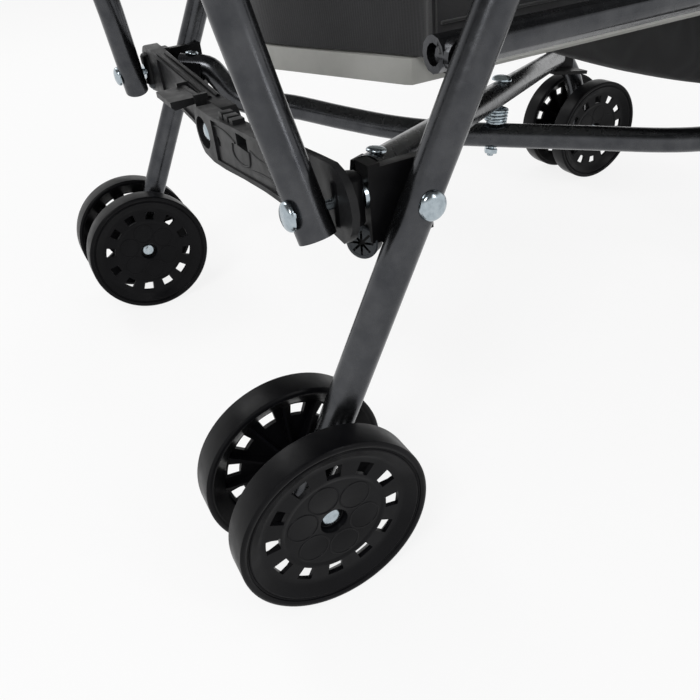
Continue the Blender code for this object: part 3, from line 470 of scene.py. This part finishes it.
# ---------------------------------------------------------------- wheels
SLOT_ANGLES = (-6.9, -3.45, 0.0, 3.45, 6.9, 9.6, 12.3, 15.0, 17.7, 20.4)   # the first four lie in a slot
RIM = [(10.5, 60.9), (10.55, 59.9), (10.3, 59.0), (9.7, 58.3), (8.8, 58.0), (8.4, 57.5), (8.5, 56.9),
       (9.0, 56.4), (9.1, 55.7), (8.6, 54.9), (6.2, 50.8), (5.2, 49.2)]
DISH = [(4.7, 47.6), (4.6, 44.8), (4.6, 35.8), (4.6, 33.9), (4.1, 33.0), (4.0, 31.8), (4.0, 10.2),
        (3.6, 9.2), (2.9, 8.8), (-1.4, 8.5), (-1.8, 8.0), (-1.8, 4.4)]
BACK = [(-10.2, 4.4), (-10.2, 11.4), (-9.6, 12.4), (0.6, 13.6), (1.4, 15.0), (1.4, 35.8), (1.4, 44.8),
        (1.0, 46.4), (-1.6, 48.0), (-8.4, 56.8), (-9.5, 57.5), (-10.3, 58.4), (-10.6, 59.5),
        (-10.5, 60.8), (-10.1, 61.8), (-9.4, 62.4)]
TREAD = [(-8.6, 62.5), (8.6, 62.5), (9.5, 62.35), (10.15, 61.8)]


def wheel_mesh(out):
    """One wheel round the origin; its dished face looks along out (+1 or -1 in x)."""
    profile = RIM + DISH + BACK + TREAD
    hole_out, hole_in = profile.index((4.6, 44.8)), profile.index((1.4, 35.8))
    every, cut = len(SLOT_ANGLES), 4
    mesh = bmesh.new()
    rings = []
    for k in range(12 * every):
        a = math.radians(30 * (k // every) + SLOT_ANGLES[k % every])
        rings.append([mesh.verts.new((along * out, r * math.cos(a), r * math.sin(a)))
                      for along, r in profile])
    n = len(profile)
    for k in range(len(rings)):
        a, b = rings[k], rings[(k + 1) % len(rings)]
        in_slot = k % every < cut
        for i in range(n):
            j = (i + 1) % n
            if in_slot and i in (hole_out, hole_in):
                continue
            mesh.faces.new((a[i], a[j], b[j], b[i]))
        if in_slot:
            for i, j in ((hole_out, hole_in + 1), (hole_out + 1, hole_in)):
                mesh.faces.new((a[i], a[j], b[j], b[i]))
        if k % every in (0, cut):
            mesh.faces.new((a[hole_out], a[hole_out + 1], a[hole_in], a[hole_in + 1]))
    ribs = []
    for k in range(12):
        a = math.radians(30 * k + 15)
        u, v = Vector((0, math.cos(a), math.sin(a))), Vector((1, 0, 0)) * out
        outline = [(12.5, 2.0), (46.0, 2.0), (48.6, -1.2), (44.0, -2.4), (13.0, -7.0)]
        ribs.append(prism(outline, u.cross(v) * -0.9, u, v, 1.8))
    petals = []
    for k in range(6):
        a = math.radians(60 * k + 12)
        centre = Vector((3.9 * out, 21.0 * math.cos(a), 21.0 * math.sin(a)))
        petals.append(turned(centre, (out, 0, 0),
                             [(0, 10.6), (0.3, 10.4), (0.42, 9.9), (0.3, 9.4), (0, 9.2)], 40, bored=True))
    return together(mesh, *ribs, *petals)


def make_wheels():
    for name, side in SIDES.items():
        for where, y, centre in (("rear", 0.0, REAR_X), ("front", -WHEELBASE, FRONT_X)):
            for place, step in (("outer", 1), ("inner", -1)):
                mesh = wheel_mesh(side * step)
                turn = {"outer": 5.5, "inner": 15.0}[place] + (14.0 if where == "front" else 0.0)
                spin = Matrix.Rotation(math.radians(turn), 4, "X")
                x = side * (centre + step * PAIR)
                bmesh.ops.transform(mesh, matrix=Matrix.Translation((x, y, WHEEL_R)) @ spin,
                                    verts=mesh.verts)
                node = "_".join((where, name, place))
                piece("wheel_" + node + "_fine", mesh, WHEEL, node,
                      ("wheel_" + node,), 30)
            make_axle(name, side, where, y, centre)


def make_axle(name, side, where, y, centre):
    reach = PAIR - 1.5
    outer_end = [(reach, 3.9), (reach, 6.3), (reach + 1.4, 6.3), (reach + 2.3, 5.2), (reach + 2.6, 2.6)]
    inner_end = [(-a, r) for a, r in outer_end[::-1]]
    bush = [(-18.9, 3.9), (-18.9, 8.6), (-18.1, 9.0), (-11.4, 9.0), (-11.4, 3.9)]
    profile = inner_end + bush + [(-a, r) for a, r in bush[::-1]] + outer_end
    mesh = turned((side * centre, y, WHEEL_R), (side, 0, 0), profile)
    node = "axle_%s_%s" % (where, name)
    piece(node + "_fine", mesh, ZINC, name + "_frame", (node,))


# ---------------------------------------------------------------- tubes and rivets
def make_tubes():
    for name, side in SIDES.items():
        body = name + "_frame"
        x = side * REAR_X
        piece("rear_leg_%s_fine" % name, tube([(x, leg_y(50), 50), (x, leg_y(552), 552)]), PAINT, body,
              ("rear_leg_" + name,))
        x = side * FRONT_X
        top_y = front_y(955)
        low = [(-606, 50), (-604, 82), (-597, 112), (-587, 134), (-573, 154)]
        hook = [(26, 28), (58, 47), (95, 50), (124, 33), (140, 2)]
        path = [(x, y, z) for y, z in low]
        path += [(x, top_y, 955)] + [(x, top_y + y, 955 + z) for y, z in hook]
        path = rounded_path(path, 26)
        piece("front_tube_%s_fine" % name, tube(path), PAINT, body, ("front_tube_" + name,))
        heights = (222, 325, 420, 877)
        path = [(side * upright_at(z)[0], upright_at(z)[1], z) for z in heights]
        piece("rear_upright_%s_fine" % name, tube(rounded_path(path, 40)), PAINT, body,
              ("rear_upright_" + name,))


def dome(origin, axis, tail, head, radius=8.5, height=4.6, shank=3.0, shoulders=(), tail_r=5.0):
    """A rivet with a smooth domed head, its shank and its set end."""
    profile = [(tail - 3.0, tail_r * 0.5), (tail - 1.8, tail_r * 0.95), (tail, tail_r), (tail, shank)]
    for low, high, r in shoulders:
        profile += [(low, shank), (low, r), (high, r), (high, shank)]
    profile += [(head, shank), (head, radius), (head + 0.7, radius)]
    steps = 9
    for k in range(steps):
        a = math.pi / 2 * k / steps
        profile.append((head + 0.7 + (height - 0.7) * math.sin(a), radius * math.cos(a) ** 0.85))
    profile.append((head + height, 0.4))
    return turned(origin, axis, profile, 40)


def make_rivets():
    leg_out, leg_in = REAR_X + TUBE_R + 0.1, REAR_X - TUBE_R - 0.3
    front_out, front_in = FRONT_X + TUBE_R + 0.3, FRONT_X - TUBE_R - 0.3
    knee_z = (-573.0 - 0.859 * 154.0 + -0.5215 * WHEEL_R) / (-0.5215 - 0.859)
    mid = upright_at(420.0)[1]
    top_z = (mid - 0.08 * 420.0 + 573.0 + 0.859 * 154.0) / (0.859 - 0.08)
    top = (upright_at(top_z)[1], top_z)
    for name, side in SIDES.items():
        out, body = (side, 0, 0), name + "_frame"

        def add(node, mesh):
            piece(node + "_fine", mesh, ZINC, body, (node,))

        add("knuckle_rivet_" + name, dome((0, leg_y(234.5), 234.5), out, 202.7, leg_out))
        add("knee_rivet_" + name, dome((0, leg_y(knee_z), knee_z), out, front_in, leg_out,
                                       shoulders=[(front_out, leg_in, 9.0)]))
        up_out = upright_at(top_z)[0] + TUBE_R + 0.3
        add("upright_rivet_" + name, dome((0, *top), out, up_out - 22.6, front_out,
                                          shoulders=[(up_out, front_in, 8.0)]))
        tube_y = upright_at(FOLD_Z)[1]
        rear, barrel = tube_y + TUBE_R + 0.4, (BARREL[1] - BARREL[2] - 0.3, BARREL[1] + BARREL[2] + 0.3)
        spacers = [(-64.2, barrel[0], 8.0)] if side < 0 else [(barrel[1], tube_y - TUBE_R - 2.0, 7.0)]
        add("brace_end_rivet_" + name, dome((side * FOLD_X, 0, FOLD_Z), (0, 1, 0), -72.3, rear,
                                            shoulders=spacers))


# ---------------------------------------------------------------- crossed tubes, grips and mouldings
CROSS = (178.0, -86.0, 239.0)
TILT = math.radians(9.35)
DOWN = Vector((0, -math.cos(TILT), -math.sin(TILT)))
UP = Vector((0, -math.sin(TILT), math.cos(TILT)))
CROSS_ANGLE = math.atan2(CROSS[0], (CROSS[1] + 317.0) / math.cos(TILT))
REACH = CROSS[0] / math.sin(CROSS_ANGLE)
BOW = [(-11, 0), (15, 0), (26, -8), (38, -21), (52, -28), (70, -29), (100, -29), (150, -35),
       (200, -39.5), (250, -40), (300, -37.5), (380, -32.5), (450, -28), (495, -21), (530, -10),
       (556, -2), (575, 0)]
TUBE_ENDS = BOW[0][0], BOW[-1][0]       # both crossed tubes run between these


def cross_point(side, along, rise=0.0):
    way = Vector((-side, 0, 0)) * math.sin(CROSS_ANGLE) + DOWN * math.cos(CROSS_ANGLE)
    return Vector((side * CROSS[0], *CROSS[1:])) + way * along + UP * rise


def smooth_line(points, steps=5):
    """A Catmull-Rom curve through the points."""
    points = [Vector(p) for p in points]
    ends = [points[0] * 2 - points[1]] + points + [points[-1] * 2 - points[-2]]
    line = []
    for a, b, c, d in zip(ends, ends[1:], ends[2:], ends[3:]):
        for k in range(steps):
            t = k / steps
            line.append((b * 2 + (c - a) * t + (a * 2 - b * 5 + c * 4 - d) * t * t
                         + (b * 3 - a - c * 3 + d) * t ** 3) / 2)
    return line + [points[-1]]


SPRING_R = 9.5


def make_crossed_tubes():
    straight = tube([cross_point(-1, along) for along in TUBE_ENDS])
    piece("cross_tube_straight_fine", straight, PAINT, "cross_right",
          ("cross_tube_straight",))
    bowed = tube(smooth_line([cross_point(1, a, r) for a, r in BOW]))
    piece("cross_tube_bowed_fine", bowed, PAINT, "cross_left", ("cross_tube_bowed",))
    low = next(ra + (rb - ra) * (REACH - a) / (b - a)
               for (a, ra), (b, rb) in zip(BOW, BOW[1:]) if a <= REACH <= b)
    head = dome(cross_point(-1, REACH), UP, TUBE_R - 1.0, TUBE_R + 0.3, 9.0, 4.7, 2.8, tail_r=3.0)
    piece("crossing_head_fine", head, ZINC, "cross_right", ("crossing_head",))
    under = low - TUBE_R - 1.0
    hexagon = turned(cross_point(1, REACH), UP,
                     [(under - 5, 5.4), (under - 4.4, 6.5), (under - 0.6, 6.5), (under, 5.8)], 6)
    shank = turned(cross_point(1, REACH), UP,
                   [(under - 7.5, 2.2), (under - 7, 3), (-TUBE_R - 0.9, 3)], 24)
    piece("crossing_bolt_fine", together(hexagon, shank), ZINC, "cross_left", ("crossing_bolt",))
    origin, (u, v) = cross_point(1, REACH), frame_along(UP)
    bottom, top, turns = low + TUBE_R + 1.4, -TUBE_R - 2.0, 5.0
    path = []
    for k in range(int(turns * 24) + 1):
        a, t = 2 * math.pi * k / 24, k / (turns * 24)
        t = t * t * (3 - 2 * t) * 0.4 + t * 0.6
        path.append(origin + UP * (bottom + (top - bottom) * t)
                    + (u * math.cos(a) + v * math.sin(a)) * SPRING_R)
    piece("crossing_spring_fine", tube(path, 1.25, 0, 10), ZINC, "cross_left",
          ("crossing_spring",))
    for name, side in SIDES.items():
        pin = dome(cross_point(side, 0), UP, -36.3, TUBE_R + 0.3, 6.0, 2.6, tail_r=4.5)
        piece("yoke_pin_%s_fine" % name, pin, ZINC, "cross_" + name, ("yoke_pin_" + name,))


HANDLE_Z = 955                # where the handles start to bend
GRIP_LINE = [(26, 28), (58, 47), (95, 50), (124, 33), (142, -3.5)]


def make_grips():
    top_y = front_y(HANDLE_Z)
    for name, side in SIDES.items():
        path = smooth_line([(side * FRONT_X, top_y + y, HANDLE_Z + z) for y, z in GRIP_LINE], 10)
        mesh = tube(path, 16.3, 4.6, 48)
        for v in mesh.verts:
            v.co += v.co.normalized() * 0.25 * math.sin(v.co.y * 1.3)
        piece("grip_%s_fine" % name, mesh, FOAM, name + "_frame", ("grip_" + name,), 60)
        for at_end, inward in ((path[0], path[3]), (path[-1], path[-4])):
            way = (inward - at_end).normalized()
            ring = turned(at_end + way * 2, way, [(0, 15.9), (0.6, 16.9), (3.4, 16.9), (4, 15.9)],
                          40, True)
            end = "low" if at_end is path[0] else "top"
            piece("grip_band_%s_%s" % (end, name), ring, BLACK, name + "_frame")


def make_mouldings():
    for name in SIDES:
        finer("knuckle_" + name, "knuckle_%s_fine" % name, BLACK, 0.8)
        finer("yoke_" + name, "yoke_%s_fine" % name, BLACK, 0.6)
        finer("tube_guide_" + name, "tube_guide_%s_fine" % name, BLACK, 0.6)
        finer("floor_tray_" + name, "floor_tray_%s_fine" % name, PALE, 1.2, 3)
        finer("side_rail_" + name, "side_rail_%s_fine" % name, PAINT, 0.7)
        finer("hood_pivot_" + name, "hood_pivot_%s_fine" % name, BLACK, 0.7)
        finer("brace_%s_half" % name, "brace_%s_half_fine" % name, GREY, 0.9)
    finer("lock_pedal", "lock_pedal_fine", GREY, 0.9)
    middle = dome((0, 0, FOLD_Z - SAG), (0, 1, 0), LEFT_Y - BRACE_T - 0.3, BRACE_Y - 5 + 0.3, 7.6, 4.2)
    piece("brace_rivet_fine", middle, ZINC, "brace_right", ("brace_rivet",))
    floor_y = BRACE_Y - 2.0
    ridge = [[(-15, 235), (-24, 239.5), (-40, 241), (-56, 240.4), (-68, 238)],
             [(-97, 240), (-112, 238.5), (-132, 240), (-152, 245)],
             [(-96, 226.5), (-118, 229.5), (-152, 232)]]
    raised = [tube(smooth_line([(x, floor_y, z) for x, z in line]), 0.75, 0, 10) for line in ridge]
    ramp = [(-62, 236), (-60.5, 231), (-64.5, 226.8), (-73.4, 225), (-86, 226.4), (-93.4, 230.2),
            (-95.4, 239)]
    raised.append(tube(smooth_line([(x, floor_y, z) for x, z in ramp]), 0.9, 0, 10))
    piece("brace_relief", together(*raised), GREY, "brace_right", sharp=60)
    band = [(24, 246.5), (60, 250.0), (110, 253.6), (165, 257.4)]
    bands = [tube(smooth_line([(x, y, z) for x, z in band]), 1.9, 0, 12)
             for y in (LEFT_Y - 3.0, LEFT_Y - 10.0)]
    piece("brace_bands", together(*bands), BLACK, "brace_left", sharp=60)
    for name, side in SIDES.items():
        x, y, r = BARREL
        pin = turned((side * x, y, 219.3), (0, 0, 1),
                     [(0, 2.2), (0.5, 4.0), (1.5, 5.6), (3.2, 6.9), (6.2, 7.2), (7.5, 7.2)], 40)
        sleeve = turned((side * x, y, 225.6), (0, 0, 1),
                        [(0, r + 0.1), (0.6, r + 0.5), (25.5, r + 0.5), (27.2, r - 0.8), (27.9, r - 3)],
                        48)
        piece("end_pin_" + name, pin, CAP, "brace_" + name)
        piece("end_sleeve_" + name, sleeve, BLACK, "brace_" + name)
    way = cross_point(-1, 1) - cross_point(-1, 0)
    face = Vector((-way.x, -way.y, 0.09)).normalized()
    centre = Vector((-199.0, -66.0, 209.2)) + face * 6.7
    u, v = frame_along(face)
    spokes = [turned(centre, face, [(-2.2, 9.9), (-0.6, 9.9), (0.1, 9.2), (0.3, 7.7), (0.0, 7.4),
                                    (-2.2, 7.4)], 48, True)]
    for k in range(8):
        a = math.radians(45 * k + 22.5)
        d, e = u * math.cos(a) + v * math.sin(a), v * math.cos(a) - u * math.sin(a)
        spokes.append(prism([(2.0, 0.0), (5.4, -1.5), (7.7, -2.3), (7.7, 2.3), (5.4, 1.5)],
                            centre - face * 1.6, d, e, 1.6))
    piece("knuckle_cap_star", together(*spokes), CAP, "right_frame")


# ---------------------------------------------------------------- cloth
PANEL_X, CABIN_TOP, CABIN_FRONT, CABIN_REAR = 176.5, 551.0, -486.0, -132.0
CABIN_LOW, FRONT_TOP, TRAY_TOP = 297.5, 461.0, 290.3
HOOD_AT, HOOD_R, HOOD_EDGE = (-196.0, 592.0), 285.0, 147.8


def cloth_sheet(name, grid, thick, mat, body, stands_for=(), closed=False):
    """A sheet of cloth over a grid of points, with both its faces and its rim."""
    rows, cols = len(grid), len(grid[0])
    points = [Vector(p) for line in grid for p in line]
    mesh = bmesh.new()
    verts = [mesh.verts.new(p) for p in points]
    wrap = cols if closed else cols - 1
    for i in range(rows - 1):
        for j in range(wrap):
            k = (j + 1) % cols
            mesh.faces.new((verts[i * cols + j], verts[i * cols + k], verts[(i + 1) * cols + k],
                            verts[(i + 1) * cols + j]))
    mesh.normal_update()
    bmesh.ops.recalc_face_normals(mesh, faces=mesh.faces)
    mesh.normal_update()
    normals = [v.normal.copy() for v in verts]
    for v, n in zip(verts, normals):
        v.co += n * (thick / 2)
    faces = list(mesh.faces)
    rim = [e for e in mesh.edges if e.is_boundary]
    other = {v: mesh.verts.new(v.co - n * thick) for v, n in zip(verts, normals)}
    for f in faces:
        mesh.faces.new([other[v] for v in reversed(f.verts)])
    for e in rim:
        a, b = e.verts
        mesh.faces.new((a, b, other[b], other[a]))
    return piece(name, mesh, mat, body, stands_for, 50)


def folds(obj):
    """Gives the cloth piece its own copy of its mesh data."""
    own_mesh(obj)
    return obj


def piping(name, points, body, radius=1.9):
    return piece(name, tube(smooth_line(points, 3), radius, 0, 10), TAPE, body, sharp=60)


def panel_top(y):
    if y >= -330:
        return CABIN_TOP
    if y >= -400:
        return CABIN_TOP - 12 * (-330 - y) / 70
    return 539 - 78 * (-400 - y) / 86


def pucker(u, v, n, m):
    """How far quilted cloth stands proud between its stitch lines, from 0 to 1."""
    return abs(math.sin(math.pi * u * n) * math.sin(math.pi * v * m)) ** 0.6


def make_cabin():
    for name, side in SIDES.items():
        grid = []
        for i in range(61):
            u = i / 60
            y = CABIN_FRONT + (CABIN_REAR - CABIN_FRONT) * u
            line = []
            for j in range(41):
                v = j / 40
                z = CABIN_LOW + (panel_top(y) - 3 - CABIN_LOW) * v
                proud = 1.5 * math.sin(math.pi * u) * math.sin(math.pi * v) + 0.8 * pucker(u, v, 3, 2)
                line.append((side * (PANEL_X + proud * 0.8 - 0.6), y, z))
            grid.append(line)
        panel = cloth_sheet("cabin_side_%s_cloth" % name, grid, 2.2, CLOTH, name + "_frame",
                            ("cabin_side_" + name,))
        edge = [(side * PANEL_X, y, panel_top(y) - 2) for y in range(-485, -131, 16)]
        rims = [piping("cabin_side_%s_piping" % name, edge, name + "_frame")]
        low = [(side * (PANEL_X + 1.2), y, CABIN_LOW + 13) for y in (-484, -400, -300, -200, -134)]
        rims.append(piping("cabin_side_%s_seam" % name, low, name + "_frame", 1.0))
    rear = [(-178, -131), (-153, -127), (-49, -84), (0, -83), (49, -84), (153, -127), (178, -131)]
    front = [(-178, -488), (-150, -490), (-60, -499), (0, -500), (60, -499), (150, -490), (178, -488)]
    for name, line, top, sag in (("cabin_rear", rear, CABIN_TOP, -5.0),
                                 ("cabin_front", front, FRONT_TOP, 3.0)):
        path = smooth_line([(x, y, 0) for x, y in line], 8)
        grid = []
        for i, p in enumerate(path):
            u = i / (len(path) - 1)
            column = []
            for j in range(37):
                v = j / 36
                dip = sag * math.sin(math.pi * u) ** 0.8 * math.sin(math.pi * v)
                wave = 0.7 * noise.noise((p.x * 0.02, v * 4, 3.0))
                lift = -6.0 * math.sin(math.pi * u) * v
                column.append((p.x * 0.982, p.y + dip + wave + (1.8 if sag > 0 else 0),
                               TRAY_TOP + 1 + (top - 4 - TRAY_TOP) * v + lift))
            grid.append(column)
        wall = cloth_sheet(name + "_cloth", grid, 2.2, CLOTH, "right_frame", (name,))
        hem = piping(name + "_piping", [c[-1] for c in grid[::3]] + [grid[-1][-1]], "right_frame", 1.8)
        folds(wall)
        folds(hem)


def make_cushion():
    """The floor cushion: a drawn crowned pad, whose cloth simulation is limited in reach and height."""
    low, high, y0, y1, w = TRAY_TOP, TRAY_TOP + 22.0, -466.0, -143.0, 148.0
    rows, cols = 36, 33
    top, bottom = [], []
    for i in range(rows + 1):
        t = -1 + 2 * i / rows
        for j in range(cols + 1):
            s = -1 + 2 * j / cols
            pull_x, pull_y = 1 - 0.035 * (1 - t * t), 1 - 0.03 * (1 - s * s)
            corner = (abs(s) ** 8 + abs(t) ** 8) ** 0.125 or 1
            k = max(abs(s), abs(t)) / corner if corner else 1
            x, y = s * w * pull_x * k, (y0 + y1) / 2 + t * (y1 - y0) / 2 * pull_y * k
            edge = max(0.0, 1 - max(abs(s), abs(t)) ** 6) ** 0.5
            top.append((x, y, low + 9 + (high - low - 9) * edge))
            bottom.append((x, y, low + 9 - 8.4 * edge))
    mesh = bmesh.new()
    upper = [mesh.verts.new(p) for p in top]
    lower = []
    for i in range(rows + 1):
        for j in range(cols + 1):
            k = i * (cols + 1) + j
            rim = i in (0, rows) or j in (0, cols)
            lower.append(upper[k] if rim else mesh.verts.new(bottom[k]))
    for i in range(rows):
        for j in range(cols):
            k = i * (cols + 1) + j
            quad = (k, k + 1, k + cols + 2, k + cols + 1)
            mesh.faces.new([upper[q] for q in quad])
            mesh.faces.new([lower[q] for q in reversed(quad)])
    for v in mesh.verts:
        if v.co.z > low + 12:
            s, t = v.co.x / w, (v.co.y - (y0 + y1) / 2) / ((y1 - y0) / 2)
            for line in (-1 / 3, 1 / 3):
                v.co.z -= 4.5 * math.exp(-((t - line) / 0.035) ** 2) * (1 - s ** 4)
            v.co.z -= 4.5 * math.exp(-(s / 0.04) ** 2) * (1 - t ** 4)
            v.co.z += 0.9 * noise.noise((v.co.x * 0.03, v.co.y * 0.03, 1.0))
    pad = piece("cushion_cloth", mesh, FLEECE, "right_frame", ("cushion",), 80)
    inflate(pad)
    sub = pad.modifiers.new("fine", "SUBSURF")
    sub.levels = sub.render_levels = 1
    bpy.context.view_layer.update()
    rim = [(math.cos(a), math.sin(a)) for a in (2 * math.pi * k / 72 for k in range(72))]
    line = []
    for c, s in rim:
        r = (abs(c) ** 8 + abs(s) ** 8) ** -0.125
        line.append((c * r * w * (1 - 0.035 * (1 - min(1, abs(s * r)) ** 2)) * 1.004,
                     (y0 + y1) / 2 + s * r * (y1 - y0) / 2 * (1 - 0.03 * (1 - min(1, abs(c * r)) ** 2)),
                     low + 9.2))
    band = piece("cushion_piping", closed_tube(line, 2.0), TAPE, "right_frame", sharp=60)
    folds(pad)
    folds(band)


def closed_tube(points, radius, sides=10):
    points = [Vector(p) for p in points]
    n = len(points)
    rings = []
    for i, p in enumerate(points):
        t = (points[(i + 1) % n] - points[i - 1]).normalized()
        u = Vector((0, 0, 1))
        v = t.cross(u)
        rings.append([p + (u * math.cos(a) + v * math.sin(a)) * radius
                      for a in (2 * math.pi * k / sides for k in range(sides))])
    return skin(rings, True)


PINNED_BELOW, CUSHION_LOW, CUSHION_HIGH = (TRAY_TOP + rise for rise in (2.5, 0.4, 25.0))


def inflate(pad, steps=14, cap=5.0):
    """Blows the pad up; no point moves further than cap, and its top is held at a flat limit."""
    before = [v.co.copy() for v in pad.data.vertices]
    sim = pad.modifiers.new("cloth", "CLOTH")
    sim.settings.quality = 5
    sim.settings.use_pressure = True
    sim.settings.uniform_pressure_force = 3.0
    sim.settings.effector_weights.gravity = 0.0
    sim.settings.mass = 0.3
    pins = pad.vertex_groups.new(name="pins")
    pinned = [v.index for v in pad.data.vertices if v.co.z < PINNED_BELOW * MM]
    pins.add(pinned, 1.0, "REPLACE")
    sim.settings.vertex_group_mass = "pins"
    scene = bpy.context.scene
    sim.point_cache.frame_start, sim.point_cache.frame_end = 1, steps
    for frame in range(1, steps + 1):
        scene.frame_set(frame)
    shaped = pad.evaluated_get(bpy.context.evaluated_depsgraph_get()).data
    after = [v.co.copy() for v in shaped.vertices]
    pad.modifiers.remove(sim)
    scene.frame_set(1)
    for v, a, b in zip(pad.data.vertices, before, after):
        move = b - a
        if move.length > cap * MM:
            move *= cap * MM / move.length
        v.co = a + move
        v.co.z = min(max(v.co.z, CUSHION_LOW * MM), CUSHION_HIGH * MM)
    pad.data.update()


def make_pouch():
    """The storage pouch under the cabin's front: a lofted shell that sags between its corners."""
    top, bottom, y_mid = 273.5, 197.5, -470.0
    rings = []
    for i in range(27):
        t = i / 26
        depth = min(t / 0.62, 1.0)
        turn = max(t - 0.62, 0.0) / 0.38 * math.pi / 2
        shrink = 1.0 if t < 0.62 else math.cos(turn) * 0.97 + 0.03
        bulge = 1 + 0.02 * math.sin(math.pi * depth)
        z = top + (bottom + 9 - top) * depth - 9 * math.sin(turn)
        ring = []
        for k in range(96):
            a = 2 * math.pi * k / 96
            c, s = math.cos(a), math.sin(a)
            r = (abs(c) ** 5 + abs(s) ** 5) ** -0.2
            x, y = c * r, s * r
            ripple = 0.8 * noise.noise((x * 4, y * 4, depth * 2))
            ring.append((x * 135 * shrink * bulge, y_mid + (y * 26.5 + ripple) * shrink * bulge,
                         z + 3.5 * depth * (x * x - 0.35)))
        rings.append(ring)
    bag = cloth_sheet("front_pouch_cloth", rings, 2.0, CLOTH, "right_frame", ("front_pouch",), True)
    hem = piece("front_pouch_piping", closed_tube(rings[0][::2], 1.8), TAPE, "right_frame",
                sharp=60)
    folds(bag)
    folds(hem)


def hood_point(i, j, columns, rows, inset=0.0):
    """A point on the hood: i runs across it from one eye to the other, j from front to back."""
    fan = 8
    angle = math.radians(12 + 128 * j / rows)
    bows = math.sin(math.pi * 3 * j / rows) ** 2
    if i < fan or i > columns - fan:
        end = min(i, columns - i) / fan
        x = -HOOD_EDGE if i < fan else HOOD_EDGE
        full = HOOD_R * (1 - (HOOD_EDGE / 150.0) ** 3.2) ** (1 / 3.2)
        radius = 8 + (full - 8) * end
        x *= 1 - 0.012 * math.sin(math.pi * end) * bows
    else:
        turn = (i - fan) / (columns - 2 * fan)
        x = -HOOD_EDGE * math.cos(math.pi * turn)
        radius = HOOD_R * (1 - (abs(x) / 150.0) ** 3.2) ** (1 / 3.2)
        radius -= 5.0 * bows * math.sin(math.pi * turn) ** 0.5
    radius -= inset
    return (x, HOOD_AT[0] - radius * math.cos(angle), HOOD_AT[1] + radius * math.sin(angle))


def make_hood():
    columns, rows = 56, 48
    grid = [[hood_point(i, j, columns, rows, 1.3 if 0 < i < columns else 0) for j in range(rows + 1)]
            for i in range(columns + 1)]
    hood = cloth_sheet("hood_cloth", grid, 2.0, CLOTH, "hood", ("hood",))
    for k, j in enumerate((0, 16, 32, 48)):
        path = [hood_point(i, j, columns, rows, 1.5) for i in range(1, columns)]
        folds(piece("hood_bow_%d" % (k + 1), tube(path, 2.6, 0, 10), TAPE, "hood",
                                 sharp=60))
    folds(hood)


make_camera()
make_studio()
bpy.context.scene.view_settings.view_transform = "Standard"
make_wheels()
make_tubes()
make_rivets()
make_crossed_tubes()
make_grips()
make_mouldings()
make_cabin()
make_cushion()
make_pouch()
make_hood()
